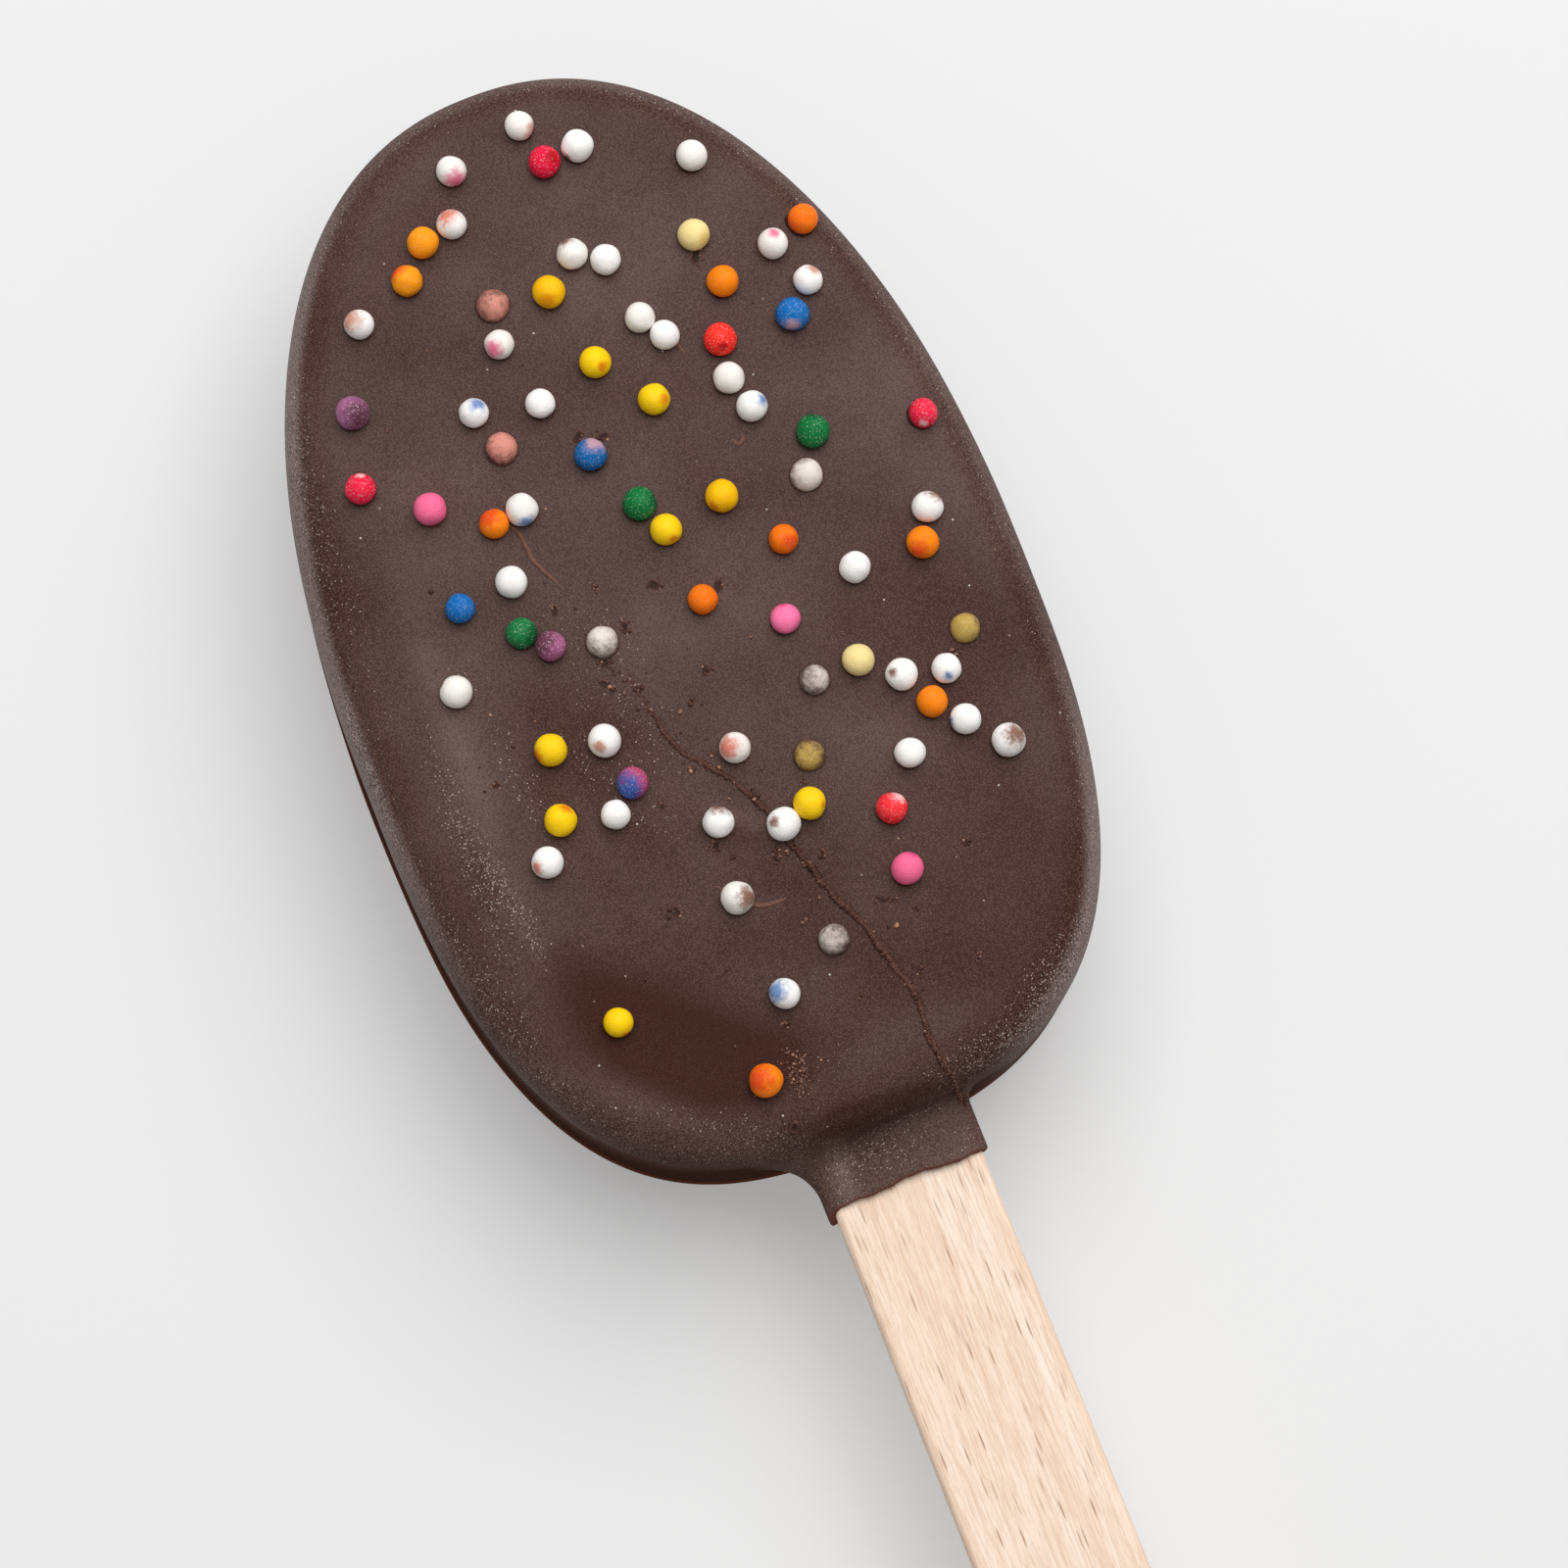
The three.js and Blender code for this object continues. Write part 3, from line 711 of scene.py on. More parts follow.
# Bare chocolate is dark and reddish; bloom lays a fine grey dust over it. A stipple of small
# light dots between dark gaps gives the grain, and sparse cells give pale specks and dust. The
# sheen is a coat, strong on the rim and none in the hollow and on the dull wall. Painted light
# in the colour: a pale grey highlight along the rim, painted highlight in the paler patches, and
# painted shade on the wall, in the hollow, in the valley at the collar and round the balls' feet.
def chocolateMaterial():
    looks = chocolateLooks
    r = Recipe("dustyChocolate", {
        "IOR": 1.45, "Specular IOR Level": 0.0,
        "Coat IOR": 1.45, "Coat Roughness": looks["sheenRoughness"],
    })
    place = r.place()
    broad = r.noise(place, looks["broadScale"], 3, 0.55)
    grain, specks = r.cells(place, looks["grainScale"]), r.cells(place, looks["speckScale"])
    hollowAndPaintedShade, reddish, wall, shoulder = map(r.attribute, ("hollowAndPaintedShade", "reddish", "wall", "shoulder"))
    dusty, paleBloomAndHighlight, edge = map(r.attribute, ("dusty", "paleBloomAndHighlight", "edge"))
    inCollar, rim, dull = map(r.attribute, ("inCollar", "rim", "dull"))

    # the dark base shows where the hollow is bare and where shade is painted: the valley and the
    # balls' seats
    bare = hollowAndPaintedShade.step(0.15, 0.9)
    bloom = 0.22 + (broad - 0.5) * 0.7 + paleBloomAndHighlight * 0.5 + inCollar * 0.22 - reddish * 0.35
    bloom = bloom.maths("MAXIMUM", 0.0) * (1 - bare * 0.95)
    rough = 0.65 + shoulder * 0.35 + inCollar * 0.15 + dusty * 0.5 - bare * 0.45
    light, dark = 1 - grain.step(0.08, 0.5), grain.step(0.45, 0.75)
    chosen = r.numberOf(grain) + dusty * 0.42 + shoulder * 0.08 + inCollar * 0.04 - bare * 0.1
    rare = r.numberOf(specks)
    often = (rare + dusty * 0.07 + shoulder * 0.02 - wall).step(0.972, 0.988)
    mark = (1 - specks.step(0.06, 0.15)) * often
    colour = r.painted(
        fromScreen(*looks["bare"]),
        (bloom, looks["bloomed"]),
        (reddish * 0.5, looks["reddish"]),
        # painted highlight along the rim
        (rim * 0.65, looks["rim"]),
        (dark * rough * 0.5, looks["gap"]),
        (light * rough * 0.42, looks["dot"]),
        (light * chosen.step(0.985, 1.04) * 0.85, looks["dust"]),
        # painted shade on the wall
        (wall * 0.9, looks["wall"]),
    )
    warm = rare.other("Green").step(0.45, 0.55)
    speck = r.painted(fromScreen(*looks["warmSpeck"]), (warm, looks["paleSpeck"]))
    colour = r.painted(r.blend(mark * 0.9, colour, speck), (edge * 0.72, looks["edge"]))
    sheen = 0.2 + (broad - 0.5) * 0.25 + rim * 0.3 + paleBloomAndHighlight * 0.1 + inCollar * (paleBloomAndHighlight * 0.45 - 0.1)
    return r.finish({
        "Base Color": colour,
        "Roughness": 0.5 + light * 0.12,
        "Coat Weight": sheen * (1 - bare) * (1 - dull),
        "Normal": r.bump(light * 0.012 + mark * 0.03 + broad * 0.1),
    })


chocolate = chocolateMaterial()
coatPoints, coatFaces, inCollar, onLip = coatSurface()
coatMasks = toneMasks(coatPoints, inCollar, onLip)
makePiece("chocolateCoat", coatPoints, coatFaces, chocolate, coatMasks)


sprinkles = {
    "count": 81,
    "seed": 11421,
    "smallest": 1.85,  # diameters
    "spread": 0.3,
    "spacing": 0.96,
    "edgeRoom": 1.9,
    "lowest": -6.2,
    "sunkShare": 0.1,
    "lift": 0.5,  # of the centre above the surface, in radii
    "sunkLift": 0.1,
    "sides": 30,
    "rows": 18,
    "lumps": 0.011,  # height of each of the faint waves, in radii
    "lumpWaves": 5,
    "lumpPace": 2.6,
    "seatSides": 26,
    "seatProfile": [  # outwards and upwards from the contact circle
        (0.16, -0.06), (0.1, 0.004), (0.05, 0.03), (0.01, 0.08), (-0.1, 0.1), (-0.14, -0.08),
    ],
    "speckColour": (236, 222, 214),
}
# Each kind: how many, the share with a blotch, the blotch's reach in radians, the strength of
# the specks, the screen colours of the balls, and those of their blotches.
sprinkleKinds = {
    "whiteSprinkles": (
        35, 0.62, (0.4, 1.3), 0.0,
        [(246, 243, 240), (248, 245, 242), (241, 236, 230)],
        [(214, 120, 100), (226, 104, 140), (126, 84, 66), (196, 140, 118), (104, 136, 186)],
    ),
    "yellowSprinkles": (
        9, 0.75, (0.4, 0.8), 0.1,
        [(253, 208, 10), (250, 206, 18), (250, 190, 6)], [(224, 126, 10), (230, 146, 8)],
    ),
    "paleYellowSprinkles": (
        2, 0.5, (0.5, 0.9), 0.1, [(246, 225, 158), (243, 220, 152)], [(226, 196, 110)],
    ),
    "orangeSprinkles": (
        10, 0.6, (0.6, 1.6), 0.15,
        [(248, 128, 14), (246, 116, 10), (250, 132, 12), (250, 154, 22)],
        [(226, 76, 22), (232, 96, 26)],
    ),
    "redSprinkles": (
        5, 0.5, (0.4, 1.0), 0.45,
        [(246, 50, 38), (240, 44, 54), (230, 26, 66)], [(244, 190, 190), (176, 14, 26)],
    ),
    "pinkSprinkles": (
        3, 0.6, (0.5, 1.1), 0.2,
        [(251, 120, 167), (245, 105, 149)], [(252, 180, 206), (222, 76, 130)],
    ),
    "blueSprinkles": (
        3, 0.6, (0.5, 1.1), 0.3,
        [(4, 104, 178), (2, 96, 162)], [(100, 156, 204), (190, 150, 160)],
    ),
    "greenSprinkles": (
        3, 0.9, (0.7, 1.4), 0.4,
        [(16, 113, 58), (26, 116, 64), (196, 192, 66)], [(14, 84, 44), (96, 160, 84)],
    ),
    "purpleSprinkles": (
        2, 0.9, (0.8, 1.6), 0.5,
        [(166, 96, 134), (160, 98, 138)], [(92, 52, 66), (176, 132, 156)],
    ),
    "mixedSprinkles": (1, 1.0, (1.9, 2.1), 0.4, [(186, 70, 104)], [(24, 84, 158)]),
    "smearedSprinkles": (  # those that have sunk in, under a torn film of chocolate
        0, 1.0, (2.1, 3.9), 0.3,
        [
            (226, 216, 208), (208, 196, 190), (190, 130, 108), (186, 156, 80), (160, 128, 130),
            (214, 140, 126),
        ],
        [(84, 60, 53), (94, 70, 62)],
    ),
}


# Repeatable numbers from 0 to 1, each whole number following from the one before.
def drawing(seed):
    state = seed
    while True:
        state = (state * 16807) % 2147483647
        yield state / 2147483647


# Even over the face, but thin near its left edge and towards the stick.
def sprinkleDensity(x, y):
    side = x / float(outlineReach(math.atan2(y - widestY, x), 0.0))
    leftThinning = 1 - 0.88 * eased(-side, 0.45, 0.7)
    rightThinning = 1 - 0.2 * eased(side, 0.6, 0.8)
    return leftThinning * rightThinning * (0.15 + 0.85 * eased(y, -6, 14))


# Places are drawn evenly over the face and kept by the density, where there is room.
def scatterSprinkles():
    s, draw, kept = sprinkles, drawing(sprinkles["seed"]), []
    while len(kept) < s["count"]:
        x = (2 * next(draw) - 1) * barShape["halfWidth"]
        y = barEndY + next(draw) * (barShape["tipLength"] + barShape["endLength"])
        chance = next(draw)
        diameter = s["smallest"] + s["spread"] * next(draw)
        sunk = next(draw) < s["sunkShare"]
        limit = outlineReach(math.atan2(y - widestY, x), s["edgeRoom"])
        if math.hypot(x, y - widestY) > limit or y < s["lowest"]:
            continue
        if chance > sprinkleDensity(x, y):
            continue
        room = [math.hypot(o[0] - x, o[1] - y) - s["spacing"] * (o[2] + diameter) / 2 for o in kept]
        if all(gap >= 0 for gap in room):
            kept.append((x, y, diameter, sunk))
    return np.array(kept, float)


# A ball as rows of directions from pole to pole, with the faces between them.
def ballGrid(sides, rows):
    down, around = np.meshgrid(steps(rows)[:-1] * math.pi, circle(sides), indexing="ij")
    parts = [np.sin(down) * np.cos(around), np.sin(down) * np.sin(around), np.cos(down)]
    ring = np.stack(parts, -1).reshape(-1, 3)
    directions = np.concatenate([ring, [[0, 0, 1], [0, 0, -1]]])
    return directions, [gridQuads(rows - 1, sides), endFans(rows - 1, sides)]


def ballLift(radius, sunk):  # of a ball's centre above the face
    return radius * np.where(sunk > 0, sprinkles["sunkLift"], sprinkles["lift"])


# Sugar: matt and finely grained. The body colour and the blotch come with each ball; paint is
# the blotch where it and a mottle together pass a soft limit, and fine pale specks lie over both.
def sugarMaterial(kind, speckStrength):
    r = Recipe(kind + "Sugar", {"IOR": 1.45, "Specular IOR Level": 0.13})
    place = r.place()
    edge, fine = r.noise(place, 2600, 3, 0.65), r.noise(place, 9000, 1, 0.6)
    body, tint = r.attribute("body", "Color"), r.attribute("blotch", "Color")
    blotch, mottled = r.attribute("blotch", "Alpha"), edge.step(0.4, 0.75)
    tone = r.blend(mottled * 0.12, body, r.blend(0.5, body, tint))
    paint = (blotch + (edge - 0.5) * 1.2).step(0.1, 0.95)
    specks = fine.step(0.6, 0.72) * speckStrength
    tone = r.painted(r.blend(paint * 0.95, tone, tint), (specks, sprinkles["speckColour"]))
    normal = r.bump(edge * 0.035 + fine * 0.01)
    return r.finish({"Base Color": tone, "Roughness": 0.46 + mottled * 0.16, "Normal": normal})


# Every ball is its radius times 1 + a few faint waves, set on the face along its normal. The
# blotch attribute holds the blotch's colour and, as alpha, how near a direction is to its middle.
def makeSprinkles(places):
    s, draw = sprinkles, np.random.default_rng(sprinkles["seed"])
    names = [name for name, row in sprinkleKinds.items() for n in range(row[0])]
    order = draw.permutation(len(names))
    standing = np.flatnonzero(places[:, 3] == 0)
    kindOf = np.full(len(places), "smearedSprinkles", object)
    kindOf[standing] = [names[order[n % len(names)]] for n in range(len(standing))]
    directions, faces = ballGrid(s["sides"], s["rows"])
    size, highest = len(directions), cadBox[1][2] / metresPerMm
    for kind, row in sprinkleKinds.items():
        share, reaches, specks, bodies, tints = row[1:]
        x, y, diameter, sunk = places[kindOf == kind].T
        number, radius = len(x), diameter / 2
        lumps = np.ones((number, size))
        for wave in range(s["lumpWaves"]):
            way = draw.normal(0, s["lumpPace"], (number, 3))
            phase = draw.uniform(0, anyTurn, (number, 1))
            lumps += s["lumps"] * np.sin(np.einsum("pk,nk->np", directions, way) + phase)
        centre = onFace(x, y, ballLift(radius, sunk))[:, None]
        points = centre + directions[None] * (radius[:, None] * lumps)[..., None]
        tooHigh = np.maximum(points[..., 2].max(1) - highest, 0)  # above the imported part
        points[..., 2] -= tooHigh[:, None]
        around, height = draw.uniform(0, anyTurn, number), draw.uniform(0.0, 1.6, number)
        if kind == "smearedSprinkles":  # the film is thick low down and thin on top
            height = np.full(number, -2.0)
        blotchWay = unit(np.stack([np.cos(around), np.sin(around), height], -1))
        near = np.arccos(np.clip(np.einsum("pk,nk->np", directions, blotchWay), -1, 1))
        reach = draw.uniform(*reaches, (number, 1))
        blotched = draw.uniform(0, 1, (number, 1)) < share
        alpha = (np.clip(1.15 - near / reach, 0, 1) * blotched)[..., None]
        colours = {}
        for name, tones, fourth in (("body", bodies, alpha * 0 + 1), ("blotch", tints, alpha)):
            options = np.array([fromScreen(*tone) for tone in tones])
            picked = options[draw.integers(0, len(options), number)][:, None]
            whole = np.broadcast_to(picked, (number, size, 3))
            colours[name] = np.concatenate([whole, fourth], -1).reshape(-1, 4)
        sugar, copies = sugarMaterial(kind, specks), repeated(faces, number, size)
        makePiece(kind, points, copies, sugar, colours)


# A small fillet of chocolate round each ball's foot: a profile carried round its contact circle.
# Its darker tone is painted contact shade, fainter round the sunk balls.
def makeSeats(places):
    x, y, diameter, sunk = places.T
    radius, around = diameter / 2, circle(sprinkles["seatSides"])
    contact = np.sqrt(radius**2 - ballLift(radius, sunk) ** 2)[:, None, None]
    outward, upward = (column[:, None] for column in np.array(sprinkles["seatProfile"]).T)
    normal = faceNormal(x, y)
    across = unit(np.cross(np.array([0, 1.0, 0]), normal))
    wobble = 0.25 * np.sin(3 * around + x[:, None] * 5) + 0.15 * np.sin(5 * around + y[:, None] * 7)
    out = contact + outward * np.where(outward > 0, 1 + wobble[:, None], 1)
    ways = turned(across, np.cross(normal, across), around)
    lifts = (normal[:, None] * upward)[:, :, None]
    points = onFace(x, y)[:, None, None] + ways[:, None] * out[..., None] + lifts
    size = len(outward) * len(around)
    quads = gridQuads(len(outward), len(around), closed=True)[:, ::-1]
    # painted contact shade round each ball's foot
    bare = {"hollowAndPaintedShade": np.repeat(np.where(sunk > 0, 0.2, 0.8), size)}
    faces = repeated([quads], len(x), size)
    makePiece("sprinkleSeats", points, faces, chocolate, bare)


sprinklePlaces = scatterSprinkles()
makeSprinkles(sprinklePlaces)
makeSeats(sprinklePlaces)
print(f"{len(sprinklePlaces)} sprinkles, {int(sprinklePlaces[:, 3].sum())} of them sunk")


crackPath = [
    (-5.4, 23.9), (-4.0, 21.1), (-3.0, 17.1), (0.0, 12.9), (1.2, 9.5), (2.2, 6.1),
    (3.7, 2.3), (5.0, -2.5), (4.9, -5.7), (5.2, -7.4), (5.45, -8.5), (5.7, -9.5),
]
threadPaths = [
    [(-7.9, 35.4), (-7.8, 34.2), (-7.2, 33.0), (-7.0, 31.1), (-6.3, 29.6), (-6.0, 28.9)],
    [(-4.3, 8.5), (-3.2, 7.3), (-2.1, 6.1), (-0.8, 5.8), (0.2, 5.9)],
    [(5.3, 42.3), (5.8, 41.9), (6.2, 41.4)],
    [(6.2, 42.3), (6.2, 41.0), (6.6, 39.5)],
    [(7.2, 33.9), (7.5, 33.3), (7.9, 33.5), (8.0, 34.0)],
]
pitPlaces = [
    (-1.6, 37.4), (-0.1, 36.8), (10.1, 45.9), (9.4, 45.3), (-0.6, 27.0), (-3.3, 25.2),
    (-6.9, 27.8), (3.1, 25.5), (-5.2, 23.6), (-5.7, 22.3), (-3.8, 21.2), (0.4, 20.9),
    (-14.3, 18.9), (-3.1, 10.4), (0.1, 8.4), (-6.8, 7.5), (5.3, 3.5), (11.5, 4.9),
    (15.2, 16.3), (-3.1, -1.5), (-4.9, -7.5),
]
crumbs = {
    "seed": 31,
    "alongCrack": 250,
    "crackSpread": 0.1,
    "strayShare": 0.3,  # of those along the crack that lie wide of it
    "straySpread": 0.9,
    "strayLowest": -4,
    "inPatch": 260,
    "patchMiddle": (-3.3, -4.4),
    "patchSpread": (0.5, 0.8),
    "patchSize": 0.65,  # of its crumbs, to the others
    "atCrackEnd": 14,
    "endSpread": 0.2,
    "scattered": 80,
    "roundPits": 7,  # crumbs beside each pit
    "smallest": 0.05,
    "largest": 0.13,
    "roughness": (0.6, 1.2),  # lowest and highest share of the radius
    "tones": (0.25, 0.5, 0.75, 1.0),
    "toneShares": (0.4, 0.34, 0.16, 0.1),  # of the crumbs
    "sides": 6,
    "rows": 4,
    "collarFrom": -6.5,  # below it places are found on the coat's mesh
    # dark: of dark crumbs, and the painted shade in the pits and on the crack's sides
    "dark": (42, 19, 14),
    "brown": (100, 66, 56),
    "copper": (176, 132, 108),
}
threads = {
    "sides": 10,
    "crackRadius": 0.27,
    "threadRadius": 0.19,
    "threadLift": -0.06,
    "crackLift": (-0.1, 0.02),  # at its start and at its end
    "crackRaggedness": (0.5, 1.3),  # lowest and highest share of the radius
    "crackLitTopTone": 0.54,
    "crackLitShoulderTone": 0.34,
    "crackLight": (0.62, 1.25),  # factor on its tones at its start and at its end
    "tone": 0.62,
}
pits = {
    "strewn": 24,
    "spread": 3.2,  # of the strewn ones about the crack
    "lowest": -4.5,
    "large": (0.25, 0.45),  # radii of the placed and of the strewn ones
    "small": (0.1, 0.2),
    "sides": 16,
    "profile": [(1.0, -0.06), (0.88, 0.012), (0.7, 0.03), (0.52, 0.02), (0.3, 0.014)],
    # brown at the outer rim, then darker down the inside as painted shade
    "rimAndInnerShadeTone": (0.35, 0.4, 0.12, 0.0, 0.0),
    "brokenTone": (0, 0.5, 0.7, 0.1, 0),
}


# The polyline bent into a smooth curve (Catmull-Rom) with `count` places for each stretch.
def smoothPath(corners, count):
    corners = np.array(corners, float)
    before, after = 2 * corners[:1] - corners[1:2], 2 * corners[-1:] - corners[-2:-1]
    padded = np.concatenate([before, corners, after])
    part = (np.arange(count) / count)[None, :, None]
    a, b, c, d = (padded[n : len(padded) - 3 + n, None] for n in range(4))
    curve = 2 * b + (c - a) * part + (2 * a - 5 * b + 4 * c - d) * part**2
    curve = 0.5 * (curve + (3 * b - a - 3 * c + d) * part**3)
    return np.concatenate([curve.reshape(-1, 2), corners[-1:]])


# Crumb, thread and pit share one material: tone runs from dark through brown to copper. The
# darkest end is painted shade in the pits and on the crack's sides, and the dark of dark crumbs.
def crumbMaterial():
    r = Recipe("copperyCrumb", {"IOR": 1.3})
    tone, grain = r.attribute("tone"), r.noise(r.place(), 8000, 2, 0.7)
    stops = [(0.0, fromScreen(*crumbs["dark"])), (1.0, fromScreen(*crumbs["brown"]))]
    darkness = (tone + (grain - 0.5) * 0.3) * 2
    dark = r.add("ShaderNodeValToRGB", {"stops": stops}, {"Fac": darkness})
    coppery = (tone + (grain - 0.5) * 0.7).step(0.55, 1.1)
    return r.finish({
        "Base Color": r.painted(dark, (coppery, crumbs["copper"])),
        "Roughness": 0.5 + grain * 0.2,
        "Normal": r.bump(grain, 0.00004),
    })


# As onFace, but beside the collar the height is that of the coat's mesh, met by a ray from above.
def onCoat(x, y, lift):
    points = onFace(x, y, lift)
    for place in np.flatnonzero(y < crumbs["collarFrom"]):
        hit = coatTree.ray_cast(Vector((x[place], y[place], 30)), Vector((0, 0, -1)))[0]
        if hit:
            points[place] = (hit.x, hit.y, hit.z + lift[place])
    return points


# A tube carried along a path on the face, tapered to closed ends. Its radius is given for each
# ring and each side, so that it can be ragged.
def tubeAlong(path, radius, lift, taperPower=0.35):
    x, y = path.T
    rows, sides = radius.shape
    centre, normal = onCoat(x, y, lift), faceNormal(x, y)
    beside = unit(np.cross(unit(np.gradient(centre, axis=0)), normal))
    taper = np.sin(np.clip(np.linspace(0, 1, rows), 0.01, 0.99) * math.pi) ** taperPower
    width = (radius * taper[:, None])[..., None]
    points = centre[:, None] + width * turned(beside, normal, circle(sides))
    points = np.concatenate([points.reshape(-1, 3), centre[:1], centre[-1:]])
    return points, gridQuads(rows, sides), endFans(rows, sides)


def joined(parts):  # several (points, quads, triangles) as one
    starts = np.cumsum([0] + [len(part[0]) for part in parts[:-1]])
    points = np.concatenate([part[0] for part in parts])
    groups = [[part[n] + start for part, start in zip(parts, starts)] for n in (1, 2)]
    return points, [np.concatenate(group) for group in groups]


# Places and radii of the listed pits and of some more strewn about the crack.
def pitSpots():
    draw = np.random.default_rng(crumbs["seed"] + 2)
    near, number = smoothPath(crackPath, 12), pits["strewn"]
    extra = near[draw.integers(0, len(near), number)] + draw.normal(0, pits["spread"], (number, 2))
    places = np.concatenate([np.array(pitPlaces), extra[extra[:, 1] > pits["lowest"]]])
    large = np.arange(len(places)) < len(pitPlaces)
    radii = [draw.uniform(*pits[size], len(places)) for size in ("large", "small")]
    return places, np.where(large, *radii)


# Crumbs are rough balls of few faces, strewn along the crack, over the patch, round the pits,
# at the crack's end and here and there.
def makeCrumbs(material):
    s, draw = crumbs, np.random.default_rng(crumbs["seed"])
    crack, number = smoothPath(crackPath, 40), crumbs["alongCrack"]
    along = draw.beta(1.0, 1.0, number) * (len(crack) - 1)
    onCrack = crack[along.astype(int)] + draw.normal(0, s["crackSpread"], (number, 2))
    stray = (draw.random(number) < s["strayShare"]) & (onCrack[:, 1] > s["strayLowest"])
    onCrack[stray] += draw.normal(0, s["straySpread"], (stray.sum(), 2))
    inPatch = s["patchMiddle"] + draw.normal(0, 1, (s["inPatch"], 2)) * s["patchSpread"]
    angle = draw.uniform(0, anyTurn, s["scattered"])
    reach = outlineReach(angle, faceInset) * np.sqrt(draw.random(s["scattered"])) * 0.93
    strewn = np.stack([reach * np.cos(angle), widestY + reach * np.sin(angle)], -1)
    strewn = strewn[draw.random(len(strewn)) < 0.35 + 0.65 * (strewn[:, 0] < 2)]
    holes, holeRadius = pitSpots()
    turn = draw.uniform(0, anyTurn, (len(holes), s["roundPits"]))
    off = holeRadius[:, None] * draw.uniform(0.5, 1.5, turn.shape)
    roundPits = holes[:, None] + np.stack([off * np.cos(turn), off * np.sin(turn)], -1)
    atEnd = crack[-1] + draw.normal(0, s["endSpread"], (s["atCrackEnd"], 2))
    places = np.concatenate([onCrack, inPatch, strewn, roundPits.reshape(-1, 2), atEnd])
    number, (directions, faces) = len(places), ballGrid(s["sides"], s["rows"])
    size = len(directions)
    radius = draw.uniform(s["smallest"], s["largest"], number) * draw.choice([1, 1, 1, 1.5], number)
    radius[len(onCrack) : len(onCrack) + len(inPatch)] *= s["patchSize"]
    rough = draw.uniform(*s["roughness"], (number, size))
    centre = onCoat(places[:, 0], places[:, 1], radius * 0.1)
    points = centre[:, None] + directions[None] * (radius[:, None] * rough)[..., None]
    tone = draw.choice(s["tones"], number, p=s["toneShares"])
    copies = repeated(faces, number, size)
    makePiece("chocolateCrumbs", points, copies, material, {"tone": np.repeat(tone, size)})


# The crack's raised crumbling edge and the loose threads are thin ragged tubes that lie half in
# the surface. The crack's top is brown and copper, painted lighter as a highlight, and its lower
# sides are dark as painted shade; the crack grows lighter on its way. The threads have one tone.
def makeThreads(material):
    s, draw = threads, np.random.default_rng(crumbs["seed"] + 1)
    sides, crack = s["sides"], smoothPath(crackPath, 110)
    upper, rows = np.sin(circle(sides)), len(crack)
    place = np.linspace(0, 1, rows)
    wander = np.sin(np.linspace(0, 61, rows)) * 0.05 + np.sin(np.linspace(3, 173, rows)) * 0.03
    crack = crack + wander[:, None] + draw.normal(0, 0.008, crack.shape)
    present = eased(place, 0.0, 0.2) * 0.3 + 0.7
    thick = s["crackRadius"] * present * (1 + 0.12 * np.sin(np.linspace(0, 90, rows)))
    ragged = thick[:, None] * draw.uniform(*s["crackRaggedness"], (rows, sides))
    parts = [tubeAlong(crack, ragged, lerp(*s["crackLift"], eased(place, 0.93, 0.99)))]
    # painted highlight on the crack's top and shoulders, painted shade (tone 0) on its lower sides
    litShoulderTone = np.where(upper > 0.3, s["crackLitShoulderTone"], 0.0)
    litTopTone = np.where(upper > 0.8, s["crackLitTopTone"], litShoulderTone)
    speckled = draw.uniform(-0.2, 0.22, ragged.shape) + litTopTone
    speckled = speckled * lerp(*s["crackLight"], eased(place, 0.45, 0.95))[:, None]
    tones = [np.append(speckled.ravel(), [0.4, 0.4])]
    for path in threadPaths:
        curve = smoothPath(path, 14)
        even = np.full((len(curve), sides), s["threadRadius"])
        even = even * draw.uniform(0.85, 1.1, even.shape)
        parts.append(tubeAlong(curve, even, np.full(len(curve), s["threadLift"]), 0.8))
        tones.append(np.full(len(parts[-1][0]), s["tone"]))
    points, faces = joined(parts)
    makePiece("chocolateThreads", points, faces, material, {"tone": np.concatenate(tones)})


